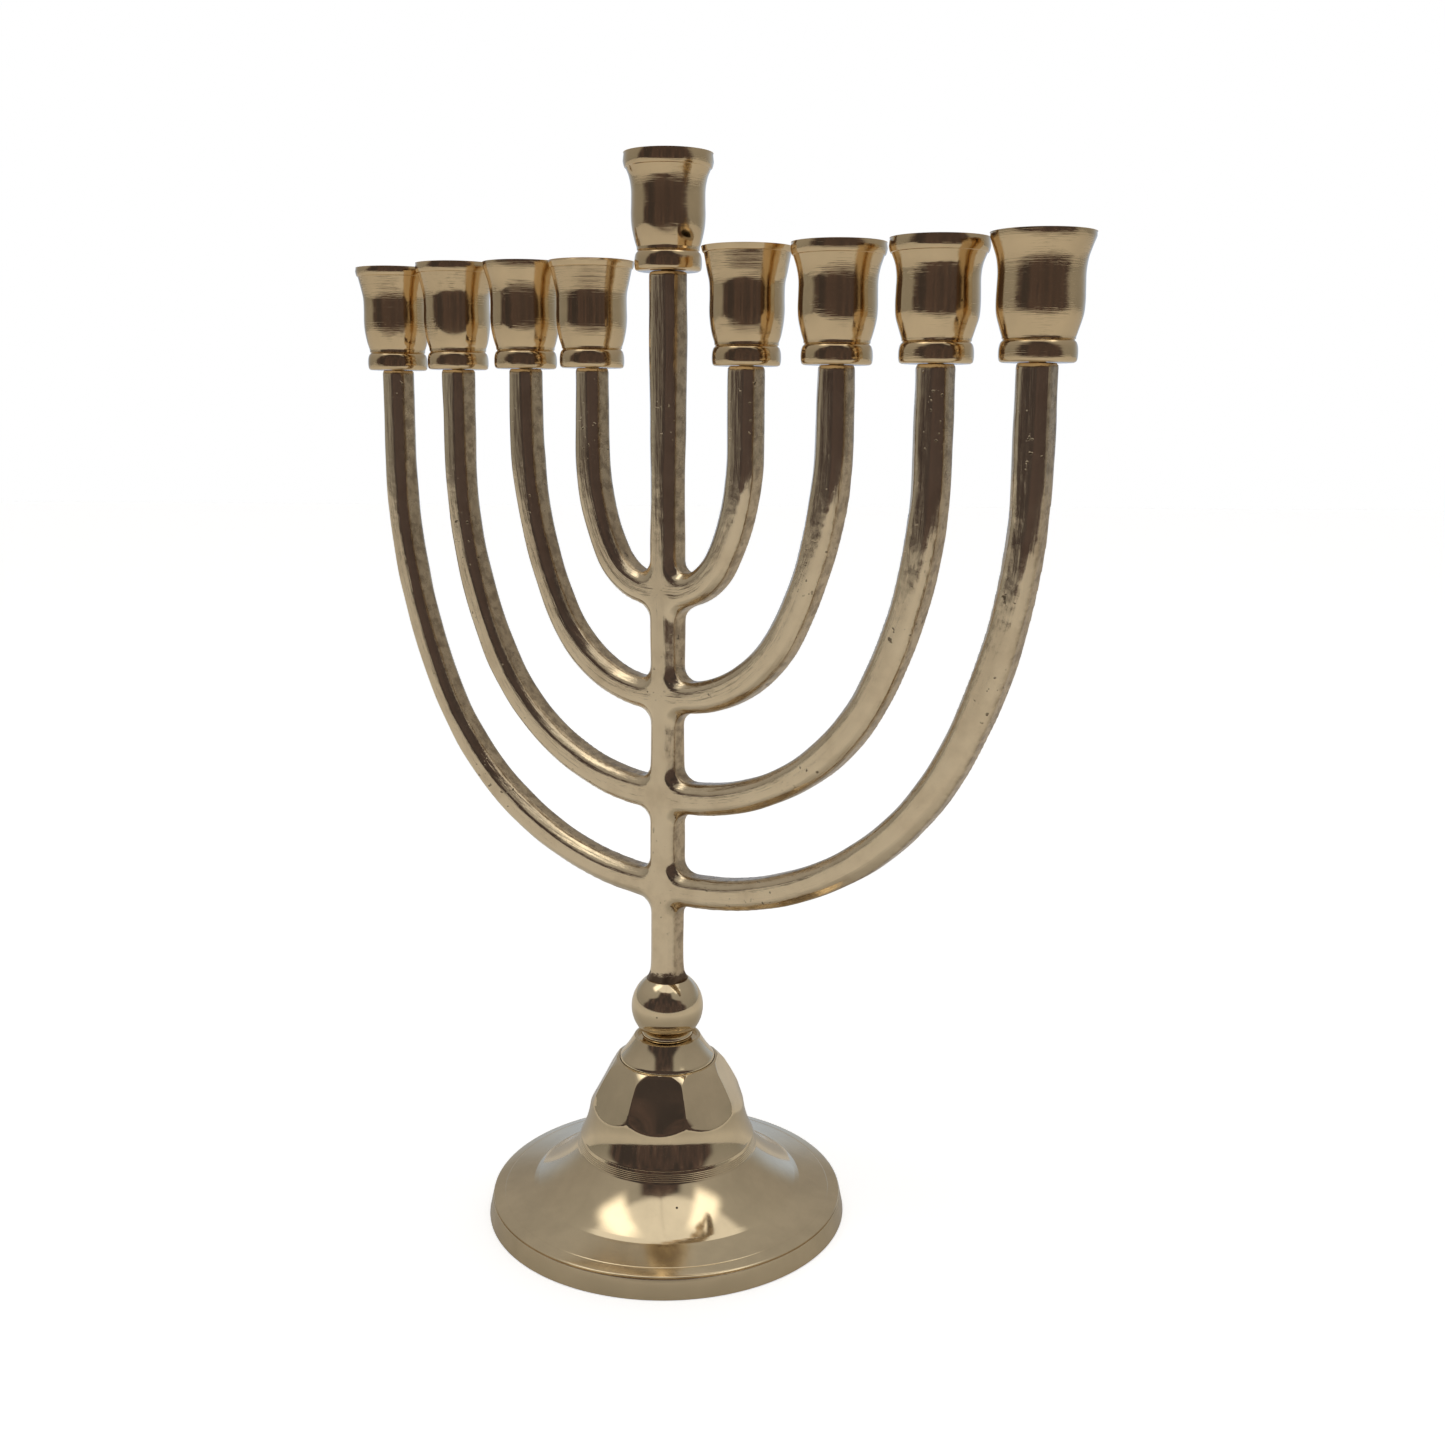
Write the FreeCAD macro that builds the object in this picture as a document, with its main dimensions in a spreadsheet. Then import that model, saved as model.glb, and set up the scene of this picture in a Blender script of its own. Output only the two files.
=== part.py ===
"""A nine-light Hanukkah menorah: turned brass base, ball knop, cast stem with eight arms, nine candle cups.

The frame is in millimetres: +Z is up, the arms spread along X, and the origin is the centre of the foot.
"""

import FreeCAD, Part
import math
import os
import Sketcher

SIZES = {
    # Base plate, from its foot up to the seat that the bell stands on
    "foot_radius": 45.85,
    "edge_radius": 44.7,
    "edge_height": 5.4,
    "flare_foot_radius": 34.0,
    "flare_foot_height": 7.9,
    "flare_bend": 44.0,
    "flare_top_radius": 22.9,
    "flare_top_height": 17.3,
    "seat_radius": 22.0,
    "seat_height": 20.0,
    "hollow_radius": 42.3,
    "hollow_step_radius": 41.2,
    "hollow_step_height": 2.6,
    "hollow_foot_radius": 31.5,
    "hollow_foot_height": 5.2,
    "hollow_bend": 15.5,
    "hollow_top_radius": 18.4,
    "hollow_top_height": 16.8,
    # Bell: a waisted band under a dome with eight flats, hollow round a boss that is tapped at both ends
    "bell_foot_radius": 22.2,
    "band_bend": 25.0,
    "band_top_radius": 19.6,
    "band_top_height": 29.2,
    "bell_bend": 20.5,
    "bell_top_radius": 12.9,
    "bell_top_height": 40.9,
    "bell_wall_foot_radius": 19.4,
    "bell_wall_bend": 29.0,
    "bell_wall_top_radius": 11.4,
    "bell_wall_top_height": 35.6,
    "boss_radius": 8.2,
    "spigot_hole_radius": 5.05,
    "spigot_hole_floor": 31.0,
    "bolt_hole_radius": 4.05,
    "bolt_hole_top": 28.6,
    "flat_count": 8,
    "flat_first_turn": 29.5,
    "flat_lean": 29.2,
    "flat_middle_radius": 17.2,
    "flat_middle_height": 33.0,
    "flat_cutter": 30.0,
    # Collar: the cone between the bell and the ball
    "collar_foot_radius": 12.3,
    "collar_top_radius": 8.4,
    "collar_top_height": 46.9,
    "collar_recess_radius": 7.3,
    "collar_recess_height": 46.0,
    "collar_hole_radius": 5.15,
    # Knop: ball, bead and threaded spigot in one turning
    "ball_radius": 9.1,
    "ball_top_radius": 5.2966,
    "ball_top_height": 62.0,
    "ball_foot_radius": 6.77,
    "ball_foot_height": 48.519,
    "bead_radius": 5.95,
    "bead_bend": 1.1,
    "bead_foot_height": 46.6,
    "spigot_radius": 5.0,
    "spigot_foot_height": 32.0,
    # Cast stem and arms: flat front and back, bevelled edges
    "bar_width": 7.6,
    "bar_depth": 7.4,
    "bar_bevel": 2.1,
    "stem_width": 7.9,
    "stem_depth": 7.7,
    "stem_top_height": 234.5,
    "arm_top_height": 212.9,
    "arm_left_1_reach": 23.4,
    "arm_left_2_reach": 45.3,
    "arm_left_3_reach": 69.15,
    "arm_left_4_reach": 91.9,
    "arm_right_1_reach": 22.4,
    "arm_right_2_reach": 46.3,
    "arm_right_3_reach": 70.5,
    "arm_right_4_reach": 93.3,
    "arm_bend_start": 32.0,
    "arm_bend_end": 62.0,
    "arm_1_height": 160.6,
    "arm_1_rise": 33.0,
    "arm_1_bend": 16.0,
    "arm_2_height": 134.9,
    "arm_2_rise": 64.0,
    "arm_2_bend": 36.0,
    "arm_3_height": 110.0,
    "arm_3_rise": 82.0,
    "arm_3_bend": 57.0,
    "arm_4_height": 86.5,
    "arm_4_rise": 104.0,
    "arm_4_bend": 76.0,
    # Candle cup, its heights counted from the foot
    "cup_height": 25.4,
    "cup_foot_radius": 7.25,
    "cup_foot_corner": 7.7,
    "cup_foot_corner_height": 0.6,
    "cup_foot_bend": 4.0,
    "cup_waist_radius": 7.1,
    "cup_waist_height": 4.4,
    "cup_belly_bend": 9.0,
    "cup_belly_radius": 8.6,
    "cup_belly_height": 10.6,
    "cup_neck_bend": 60.0,
    "cup_neck_radius": 8.8,
    "cup_neck_height": 20.1,
    "cup_flare_bend": 12.0,
    "cup_lip_radius": 10.2,
    "cup_lip_height": 24.1,
    "cup_brim_radius": 10.4,
    "cup_brim_height": 24.9,
    "cup_rim_radius": 9.9,
    "cup_mouth_radius": 7.2,
    "cup_mouth_height": 24.5,
    "cup_bore_radius": 6.25,
    "cup_bore_floor": 7.7,
    "head_hole_radius": 3.0,
    "head_hole_floor": 5.2,
    "screw_hole_radius": 1.6,
    # Cup screw, M3, and the tapped hole that it turns in
    "screw_radius": 1.5,
    "screw_length": 12.2,
    "screw_head_radius": 2.75,
    "screw_head_height": 2.0,
    "screw_slot_width": 0.8,
    "screw_slot_depth": 0.9,
    "tapped_radius": 1.55,
    "tapped_depth": 8.0,
    # Base bolt, M8, and its washer
    "washer_radius": 8.0,
    "washer_hole_radius": 4.2,
    "washer_thickness": 1.6,
    "bolt_radius": 4.0,
    "bolt_length": 11.0,
    "bolt_head_flats": 13.0,
    "bolt_head_height": 5.3,
}

os.makedirs("parts", exist_ok=True)
doc = FreeCAD.newDocument("menorah")
sheet = doc.addObject("Spreadsheet::Sheet", "Sizes")
for row, (alias, number) in enumerate(SIZES.items(), start=1):
    sheet.set(f"A{row}", alias)
    sheet.set(f"B{row}", str(number))
    sheet.setAlias(f"B{row}", alias)
doc.recompute()

nodes = []


def size(name):
    """The value of a size in the sheet; a minus before its name turns its sign, and 0 is 0."""
    if name == 0:
        return 0.0
    if name.startswith("-"):
        return -float(sheet.get(name[1:]))
    return float(sheet.get(name))


def formula(name):
    """The expression that reads a size from the sheet."""
    if name.startswith("-"):
        return f"-Sizes.{name[1:]}"
    return f"Sizes.{name}"


def new_body(label):
    """A body for one node."""
    body = doc.addObject("PartDesign::Body", label)
    body.Label = label
    nodes.append(body)
    return body


def origin_of(body, role):
    """One of the body's own origin planes or axes."""
    return next(feature for feature in body.Origin.OriginFeatures if feature.Role == role)


def new_sketch(body, role, label):
    """A sketch on one of the body's own origin planes."""
    sketch = body.newObject("Sketcher::SketchObject", label)
    sketch.AttachmentSupport = [(origin_of(body, role), "")]
    sketch.MapMode = "FlatFace"
    return sketch


def bent_edge(start, end, radius):
    """The short arc between two points; it bulges right of the way to the end, or left for a minus radius."""
    chord = end - start
    half = chord.Length / 2
    across = FreeCAD.Vector(chord.y, -chord.x, 0).normalize()
    bulge = abs(radius) - math.sqrt(radius**2 - half**2)
    middle = (start + end) / 2 + across * math.copysign(bulge, radius)
    return Part.Arc(start, middle, end)


def ends_of(sketch, edge, start):
    """The numbers of an edge's first and last point, counted from the point where the outline enters it."""
    if sketch.getPoint(edge, 1).distanceToPoint(start) < 1e-6:
        return 1, 2
    return 2, 1


def fix_point(sketch, edge, end, across, up):
    """Ties one end of an edge to the sizes across and up from the sketch's origin."""
    for kind, name, axis in (("DistanceX", across, -2), ("DistanceY", up, -1)):
        if name == 0:
            sketch.addConstraint(Sketcher.Constraint("PointOnObject", edge, end, axis))
        else:
            row = sketch.addConstraint(Sketcher.Constraint(kind, -1, 1, edge, end, size(name)))
            sketch.setExpression(f"Constraints[{row}]", formula(name))


def draw_outline(sketch, corners):
    """Draws a closed outline. A corner is (across, up) or (across, up, bend), all names of sizes or 0.

    The bend is the radius of the edge that leaves the corner, as bent_edge takes it.
    """
    points = [FreeCAD.Vector(size(corner[0]), size(corner[1]), 0) for corner in corners]
    edges = []
    for place, corner in enumerate(corners):
        start = points[place]
        end = points[(place + 1) % len(points)]
        if len(corner) == 3:
            edge = sketch.addGeometry(bent_edge(start, end, size(corner[2])))
            row = sketch.addConstraint(Sketcher.Constraint("Radius", edge, abs(size(corner[2]))))
            sketch.setExpression(f"Constraints[{row}]", formula(corner[2].lstrip("-")))
        else:
            edge = sketch.addGeometry(Part.LineSegment(start, end))
        edges.append((edge, *ends_of(sketch, edge, start)))
    for place, (edge, first, last) in enumerate(edges):
        following, entry, _ = edges[(place + 1) % len(edges)]
        sketch.addConstraint(Sketcher.Constraint("Coincident", edge, last, following, entry))
        fix_point(sketch, edge, first, corners[place][0], corners[place][1])


def turn(body, label, corners):
    """Turns an outline, drawn as radius and height, about the body's own Z axis."""
    sketch = new_sketch(body, "XZ_Plane", f"{label}_outline")
    draw_outline(sketch, corners)
    turned = body.newObject("PartDesign::Revolution", label)
    turned.Profile = sketch
    turned.ReferenceAxis = (sketch, ["V_Axis"])
    turned.Angle = 360
    return turned


def octagon(sketch, width, depth, bevel, middle):
    """Draws a rectangle with bevelled corners: width across, depth up, about a point on the sketch Y axis."""
    wide = size(width) / 2
    deep = size(depth) / 2
    cut = size(bevel)
    corners = []
    for x, y, swap in ((1, -1, False), (1, 1, True), (-1, 1, False), (-1, -1, True)):
        side_point = FreeCAD.Vector(x * wide, y * (deep - cut) + size(middle), 0)
        end_point = FreeCAD.Vector(x * (wide - cut), y * deep + size(middle), 0)
        corners += [side_point, end_point] if swap else [end_point, side_point]
    edges = []
    for place, start in enumerate(corners):
        edges.append(sketch.addGeometry(Part.LineSegment(start, corners[(place + 1) % 8])))
    for place, edge in enumerate(edges):
        sketch.addConstraint(Sketcher.Constraint("Coincident", edge, 2, edges[(place + 1) % 8], 1))
    for place, kind in ((1, "Vertical"), (3, "Horizontal"), (5, "Vertical"), (7, "Horizontal")):
        sketch.addConstraint(Sketcher.Constraint(kind, edges[place]))
    rules = [
        ("DistanceX", 5, 1, 1, 1, 2 * wide, f"Sizes.{width}"),
        ("DistanceY", 7, 2, 3, 2, 2 * deep, f"Sizes.{depth}"),
        ("DistanceX", 0, 1, 0, 2, cut, f"Sizes.{bevel}"),
        ("DistanceY", 0, 1, 0, 2, cut, f"Sizes.{bevel}"),
        ("DistanceX", 2, 2, 2, 1, cut, f"Sizes.{bevel}"),
        ("DistanceY", 2, 1, 2, 2, cut, f"Sizes.{bevel}"),
        ("DistanceX", 4, 2, 4, 1, cut, f"Sizes.{bevel}"),
        ("DistanceY", 4, 2, 4, 1, cut, f"Sizes.{bevel}"),
        ("DistanceX", 6, 1, 6, 2, cut, f"Sizes.{bevel}"),
        ("DistanceY", 6, 2, 6, 1, cut, f"Sizes.{bevel}"),
    ]
    for kind, edge_a, end_a, edge_b, end_b, number, text in rules:
        rule = Sketcher.Constraint(kind, edges[edge_a], end_a, edges[edge_b], end_b, number)
        sketch.setExpression(f"Constraints[{sketch.addConstraint(rule)}]", text)
    place_rule = Sketcher.Constraint("DistanceX", -1, 1, edges[1], 1, wide)
    sketch.setExpression(f"Constraints[{sketch.addConstraint(place_rule)}]", f"Sizes.{width} / 2")
    height_rule = Sketcher.Constraint("DistanceY", -1, 1, edges[3], 1, size(middle) + deep)
    height_text = f"Sizes.{depth} / 2" if middle == 0 else f"Sizes.{middle} + Sizes.{depth} / 2"
    sketch.setExpression(f"Constraints[{sketch.addConstraint(height_rule)}]", height_text)


def tapped_hole(body, x_formula, top):
    """A blind hole for a cup screw, down from a bar's top."""
    hole = body.newObject("PartDesign::SubtractiveCylinder", f"{body.Label}_hole")
    hole.AttachmentSupport = [(origin_of(body, "XY_Plane"), "")]
    hole.MapMode = "FlatFace"
    hole.setExpression("Radius", "Sizes.tapped_radius")
    hole.setExpression("Height", "Sizes.tapped_depth")
    hole.setExpression("AttachmentOffset.Base.x", x_formula)
    hole.setExpression("AttachmentOffset.Base.z", f"Sizes.{top} - Sizes.tapped_depth")


def base_plate():
    """The turned foot: a disc that flares up to the bell's seat, hollow underneath, with the bolt's hole."""
    body = new_body("base_plate")
    turn(body, "base_plate_turning", [
        ("washer_hole_radius", "hollow_top_height"),
        ("hollow_top_radius", "hollow_top_height", "hollow_bend"),
        ("hollow_foot_radius", "hollow_foot_height"),
        ("hollow_step_radius", "hollow_step_height"),
        ("hollow_radius", 0),
        ("foot_radius", 0),
        ("edge_radius", "edge_height"),
        ("flare_foot_radius", "flare_foot_height", "-flare_bend"),
        ("flare_top_radius", "flare_top_height"),
        ("seat_radius", "seat_height"),
        ("washer_hole_radius", "seat_height"),
    ])


def bell():
    """The dome over the base: turned, then cut to eight flats that end in a scalloped edge on its band."""
    body = new_body("bell")
    turn(body, "bell_turning", [
        ("bolt_hole_radius", "seat_height"),
        ("boss_radius", "seat_height"),
        ("boss_radius", "bell_wall_top_height"),
        ("bell_wall_top_radius", "bell_wall_top_height", "-bell_wall_bend"),
        ("bell_wall_foot_radius", "seat_height"),
        ("bell_foot_radius", "seat_height", "-band_bend"),
        ("band_top_radius", "band_top_height", "bell_bend"),
        ("bell_top_radius", "bell_top_height"),
        ("spigot_hole_radius", "bell_top_height"),
        ("spigot_hole_radius", "spigot_hole_floor"),
        (0, "spigot_hole_floor"),
        (0, "bolt_hole_top"),
        ("bolt_hole_radius", "bolt_hole_top"),
    ])
    cutter = body.newObject("PartDesign::SubtractiveBox", "bell_flat")
    cutter.AttachmentSupport = [(origin_of(body, "XY_Plane"), "")]
    cutter.MapMode = "FlatFace"
    for side in ("Length", "Width", "Height"):
        cutter.setExpression(side, "Sizes.flat_cutter")
    middle_turn = math.radians(size("flat_first_turn") - 90)
    lean = math.radians(size("flat_lean"))
    outward = FreeCAD.Vector(math.cos(middle_turn), math.sin(middle_turn), 0)
    along = FreeCAD.Vector(-outward.y, outward.x, 0)
    face_out = outward * math.cos(lean) + FreeCAD.Vector(0, 0, math.sin(lean))
    upward = face_out.cross(along)
    middle = outward * size("flat_middle_radius") + FreeCAD.Vector(0, 0, size("flat_middle_height"))
    corner = middle - (along + upward) * (size("flat_cutter") / 2)
    cutter.AttachmentOffset = FreeCAD.Placement(corner, FreeCAD.Rotation(face_out, along, upward, "XYZ"))
    ring = body.newObject("PartDesign::PolarPattern", "bell_flats")
    ring.Originals = [cutter]
    ring.Axis = (origin_of(body, "Z_Axis"), [""])
    ring.Angle = 360
    ring.setExpression("Occurrences", "Sizes.flat_count")
    body.Tip = ring


def collar():
    """The cone that covers the joint between bell and knop, with a recess for the knop's bead."""
    body = new_body("collar")
    turn(body, "collar_turning", [
        ("collar_hole_radius", "bell_top_height"),
        ("collar_foot_radius", "bell_top_height"),
        ("collar_top_radius", "collar_top_height"),
        ("collar_recess_radius", "collar_top_height"),
        ("collar_recess_radius", "collar_recess_height"),
        ("collar_hole_radius", "collar_recess_height"),
    ])


def knop():
    """The ball under the stem, with its bead and the threaded spigot that screws into the bell."""
    body = new_body("knop")
    turn(body, "knop_turning", [
        (0, "spigot_foot_height"),
        ("spigot_radius", "spigot_foot_height"),
        ("spigot_radius", "collar_recess_height"),
        ("bead_radius", "collar_recess_height"),
        ("bead_radius", "bead_foot_height", "bead_bend"),
        ("bead_radius", "ball_foot_height"),
        ("ball_foot_radius", "ball_foot_height", "ball_radius"),
        ("ball_top_radius", "ball_top_height"),
        (0, "ball_top_height"),
    ])


def stem():
    """The upright bar of the casting, from the ball to the middle cup."""
    body = new_body("stem")
    sketch = new_sketch(body, "XY_Plane", "stem_section")
    sketch.setExpression("AttachmentOffset.Base.z", "Sizes.ball_top_height")
    octagon(sketch, "stem_width", "stem_depth", "bar_bevel", 0)
    bar = body.newObject("PartDesign::Pad", "stem_bar")
    bar.Profile = sketch
    bar.setExpression("Length", "Sizes.stem_top_height - Sizes.ball_top_height")
    tapped_hole(body, "0", "stem_top_height")


def arm_route(sketch, number, side, reach_name):
    """Draws an arm's middle line: level at the stem, three tangent arcs round, then upright to the cup."""
    start_x = size("stem_width") / 2
    reach = size(reach_name) - start_x
    rise = size(f"arm_{number}_rise")
    bend = size(f"arm_{number}_bend")
    foot = size(f"arm_{number}_height")
    first = math.radians(size("arm_bend_start"))
    second = math.radians(size("arm_bend_end"))
    # The outer two radii close the curve on the reach and the rise.
    left_x = reach - bend * (math.sin(second) - math.sin(first))
    left_z = rise - bend * (math.cos(first) - math.cos(second))
    a, b = math.sin(first), 1 - math.sin(second)
    c, d = 1 - math.cos(first), math.cos(second)
    low_radius = (left_x * d - left_z * b) / (a * d - b * c)
    high_radius = (left_z * a - left_x * c) / (a * d - b * c)
    centre = FreeCAD.Vector(start_x, foot + low_radius, 0)
    angles = [0, first, second, math.pi / 2]
    arcs = []
    for radius, low, high in zip((low_radius, bend, high_radius), angles, angles[1:]):
        points = []
        for t in (low, (low + high) / 2, high):
            point = centre + FreeCAD.Vector(math.sin(t), -math.cos(t), 0) * radius
            points.append(FreeCAD.Vector(side * point.x, point.y, 0))
        edge = sketch.addGeometry(Part.Arc(*points))
        arcs.append((edge, *ends_of(sketch, edge, points[0])))
        if high < math.pi / 2:
            next_radius = bend if low == 0 else high_radius
            centre += FreeCAD.Vector(math.sin(high), -math.cos(high), 0) * (radius - next_radius)
    end_x = side * (start_x + reach)
    low_point = FreeCAD.Vector(end_x, foot + rise, 0)
    high_point = FreeCAD.Vector(end_x, size("arm_top_height"), 0)
    upright = (sketch.addGeometry(Part.LineSegment(low_point, high_point)), 1, 2)
    joined = arcs + [upright]
    for (edge, _, last), (following, entry, _) in zip(joined, joined[1:]):
        sketch.addConstraint(Sketcher.Constraint("Tangent", edge, last, following, entry))
    sketch.addConstraint(Sketcher.Constraint("Vertical", upright[0]))
    sketch.addConstraint(Sketcher.Constraint("Vertical", arcs[0][0], arcs[0][1], arcs[0][0], 3))
    sign = "" if side > 0 else "-"
    rules = [
        (("DistanceX", -1, 1, arcs[0][0], arcs[0][1], side * start_x), f"{sign}Sizes.stem_width / 2"),
        (("DistanceY", -1, 1, arcs[0][0], arcs[0][1], foot), f"Sizes.arm_{number}_height"),
        (("Radius", arcs[1][0], bend), f"Sizes.arm_{number}_bend"),
        (("Angle", arcs[0][0], first), "Sizes.arm_bend_start * 1deg"),
        (("Angle", arcs[1][0], second - first), "(Sizes.arm_bend_end - Sizes.arm_bend_start) * 1deg"),
        (("DistanceY", -1, 1, upright[0], 1, foot + rise),
         f"Sizes.arm_{number}_height + Sizes.arm_{number}_rise"),
        (("DistanceX", -1, 1, upright[0], 2, end_x), f"{sign}Sizes.{reach_name}"),
        (("DistanceY", -1, 1, upright[0], 2, size("arm_top_height")), "Sizes.arm_top_height"),
    ]
    for rule, text in rules:
        sketch.setExpression(f"Constraints[{sketch.addConstraint(Sketcher.Constraint(*rule))}]", text)


def arm(number, side, label):
    """One arm of the casting, counted outwards from the stem; side is 1 towards +X and -1 towards -X."""
    body = new_body(label)
    route = new_sketch(body, "XZ_Plane", f"{label}_route")
    arm_route(route, number, side, f"{label}_reach")
    section = new_sketch(body, "YZ_Plane", f"{label}_section")
    section.setExpression("AttachmentOffset.Base.z", f"{side} * Sizes.stem_width / 2")
    octagon(section, "bar_depth", "bar_width", "bar_bevel", f"arm_{number}_height")
    bar = body.newObject("PartDesign::AdditivePipe", f"{label}_bar")
    bar.Profile = section
    bar.Spine = (route, [f"Edge{edge}" for edge in range(1, 5)])
    sign = "" if side > 0 else "-"
    tapped_hole(body, f"{sign}Sizes.{label}_reach", "arm_top_height")


def cup(label, x_formula, seat):
    """A turned candle cup: flared lip, waist and foot, with a sunk hole in its floor for the screw."""
    body = new_body(label)
    turn(body, f"{label}_turning", [
        ("screw_hole_radius", 0),
        ("cup_foot_radius", 0),
        ("cup_foot_corner", "cup_foot_corner_height", "cup_foot_bend"),
        ("cup_waist_radius", "cup_waist_height", "cup_belly_bend"),
        ("cup_belly_radius", "cup_belly_height", "cup_neck_bend"),
        ("cup_neck_radius", "cup_neck_height", "-cup_flare_bend"),
        ("cup_lip_radius", "cup_lip_height"),
        ("cup_brim_radius", "cup_brim_height"),
        ("cup_rim_radius", "cup_height"),
        ("cup_mouth_radius", "cup_height"),
        ("cup_bore_radius", "cup_mouth_height"),
        ("cup_bore_radius", "cup_bore_floor"),
        ("head_hole_radius", "cup_bore_floor"),
        ("head_hole_radius", "head_hole_floor"),
        ("screw_hole_radius", "head_hole_floor"),
    ])
    body.setExpression("Placement.Base.x", x_formula)
    body.setExpression("Placement.Base.z", f"Sizes.{seat}")


def cup_screw(label, x_formula, seat):
    """The slotted screw that holds a cup down, drawn from the underside of its head."""
    body = new_body(label)
    for part, radius, length, low in (
        ("shank", "screw_radius", "screw_length", "-Sizes.screw_length"),
        ("head", "screw_head_radius", "screw_head_height", "0"),
    ):
        piece = body.newObject("PartDesign::AdditiveCylinder", f"{label}_{part}")
        piece.setExpression("Radius", f"Sizes.{radius}")
        piece.setExpression("Height", f"Sizes.{length}")
        piece.setExpression("AttachmentOffset.Base.z", low)
        piece.AttachmentSupport = [(origin_of(body, "XY_Plane"), "")]
        piece.MapMode = "FlatFace"
    slot = body.newObject("PartDesign::SubtractiveBox", f"{label}_slot")
    slot.AttachmentSupport = [(origin_of(body, "XY_Plane"), "")]
    slot.MapMode = "FlatFace"
    slot.setExpression("Length", "3 * Sizes.screw_head_radius")
    slot.setExpression("Width", "Sizes.screw_slot_width")
    slot.setExpression("Height", "2 * Sizes.screw_slot_depth")
    slot.setExpression("AttachmentOffset.Base.x", "-1.5 * Sizes.screw_head_radius")
    slot.setExpression("AttachmentOffset.Base.y", "-Sizes.screw_slot_width / 2")
    slot.setExpression("AttachmentOffset.Base.z", "Sizes.screw_head_height - Sizes.screw_slot_depth")
    body.setExpression("Placement.Base.x", x_formula)
    body.setExpression("Placement.Base.z", f"Sizes.{seat} + Sizes.head_hole_floor")


def base_washer():
    """The washer under the base bolt's head, inside the hollow of the base."""
    ring = doc.addObject("Part::Cylinder", "washer_disc")
    ring.setExpression("Radius", "Sizes.washer_radius")
    hole = doc.addObject("Part::Cylinder", "washer_hole")
    hole.setExpression("Radius", "Sizes.washer_hole_radius")
    for piece in (ring, hole):
        piece.setExpression("Height", "Sizes.washer_thickness")
    washer = doc.addObject("Part::Cut", "base_washer")
    washer.Base = ring
    washer.Tool = hole
    washer.Label = "base_washer"
    washer.setExpression("Placement.Base.z", "Sizes.hollow_top_height - Sizes.washer_thickness")
    nodes.append(washer)


def base_bolt():
    """The hexagon bolt that holds the bell down on the base plate, from below."""
    shank = doc.addObject("Part::Cylinder", "bolt_shank")
    shank.setExpression("Radius", "Sizes.bolt_radius")
    shank.setExpression("Height", "Sizes.bolt_length")
    head = doc.addObject("Part::Prism", "bolt_head")
    head.Polygon = 6
    head.setExpression("Circumradius", "Sizes.bolt_head_flats / 2 / cos(30)")
    head.setExpression("Height", "Sizes.bolt_head_height")
    head.setExpression("Placement.Base.z", "-Sizes.bolt_head_height")
    bolt = doc.addObject("Part::Fuse", "base_bolt")
    bolt.Base = shank
    bolt.Tool = head
    bolt.Label = "base_bolt"
    bolt.setExpression("Placement.Base.z", "Sizes.hollow_top_height - Sizes.washer_thickness")
    nodes.append(bolt)


base_plate()
base_washer()
base_bolt()
bell()
collar()
knop()
stem()
cup("cup_middle", "0", "stem_top_height")
cup_screw("cup_screw_middle", "0", "stem_top_height")
for side, side_name, sign in ((-1, "left", "-"), (1, "right", "")):
    for number in range(1, 5):
        arm(number, side, f"arm_{side_name}_{number}")
        across = f"{sign}Sizes.arm_{side_name}_{number}_reach"
        cup(f"cup_{side_name}_{number}", across, "arm_top_height")
        cup_screw(f"cup_screw_{side_name}_{number}", across, "arm_top_height")
doc.recompute()

for thing in doc.Objects:
    if "Invalid" in thing.State or "Error" in thing.State:
        raise SystemExit(f"{thing.Label} failed: {thing.State}")
for node in nodes:
    if node.Shape.isNull() or not node.Shape.isValid():
        raise SystemExit(f"{node.Label} has no valid shape")
for node in nodes:
    node.Shape.exportStep(f"parts/{node.Label}.step")
    box = node.Shape.BoundBox
    print(f"{node.Label:20s} volume {node.Shape.Volume:10.1f} z {box.ZMin:7.2f} to {box.ZMax:7.2f}")
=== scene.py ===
import math

import bpy
import numpy as np
import openvdb
from mathutils import Matrix, Vector


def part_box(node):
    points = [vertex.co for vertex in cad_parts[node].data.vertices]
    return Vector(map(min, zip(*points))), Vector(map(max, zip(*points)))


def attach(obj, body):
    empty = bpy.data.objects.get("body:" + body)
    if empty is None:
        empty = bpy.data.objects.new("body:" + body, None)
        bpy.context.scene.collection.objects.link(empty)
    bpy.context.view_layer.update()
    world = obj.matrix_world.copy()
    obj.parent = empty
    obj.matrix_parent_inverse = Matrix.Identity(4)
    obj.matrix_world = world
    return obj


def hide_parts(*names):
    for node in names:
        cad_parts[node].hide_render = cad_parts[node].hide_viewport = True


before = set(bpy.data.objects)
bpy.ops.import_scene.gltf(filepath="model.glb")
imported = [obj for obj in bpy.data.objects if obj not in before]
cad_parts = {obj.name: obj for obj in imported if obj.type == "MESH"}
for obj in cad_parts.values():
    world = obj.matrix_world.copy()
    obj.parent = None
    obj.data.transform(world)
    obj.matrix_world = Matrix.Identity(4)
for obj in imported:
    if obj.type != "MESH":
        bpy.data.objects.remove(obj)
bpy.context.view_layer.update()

# ---- Base plate ----------------------------------------------------------------------------------
# The foot is one brass casting, turned on its upper face. It flares up to the seat for the bell,
# is hollow underneath, and its upper face keeps the fine rings that the tool left.

MM = 0.001
TURNED_STEPS = 240
OFF_CENTRE = 0.15


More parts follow.
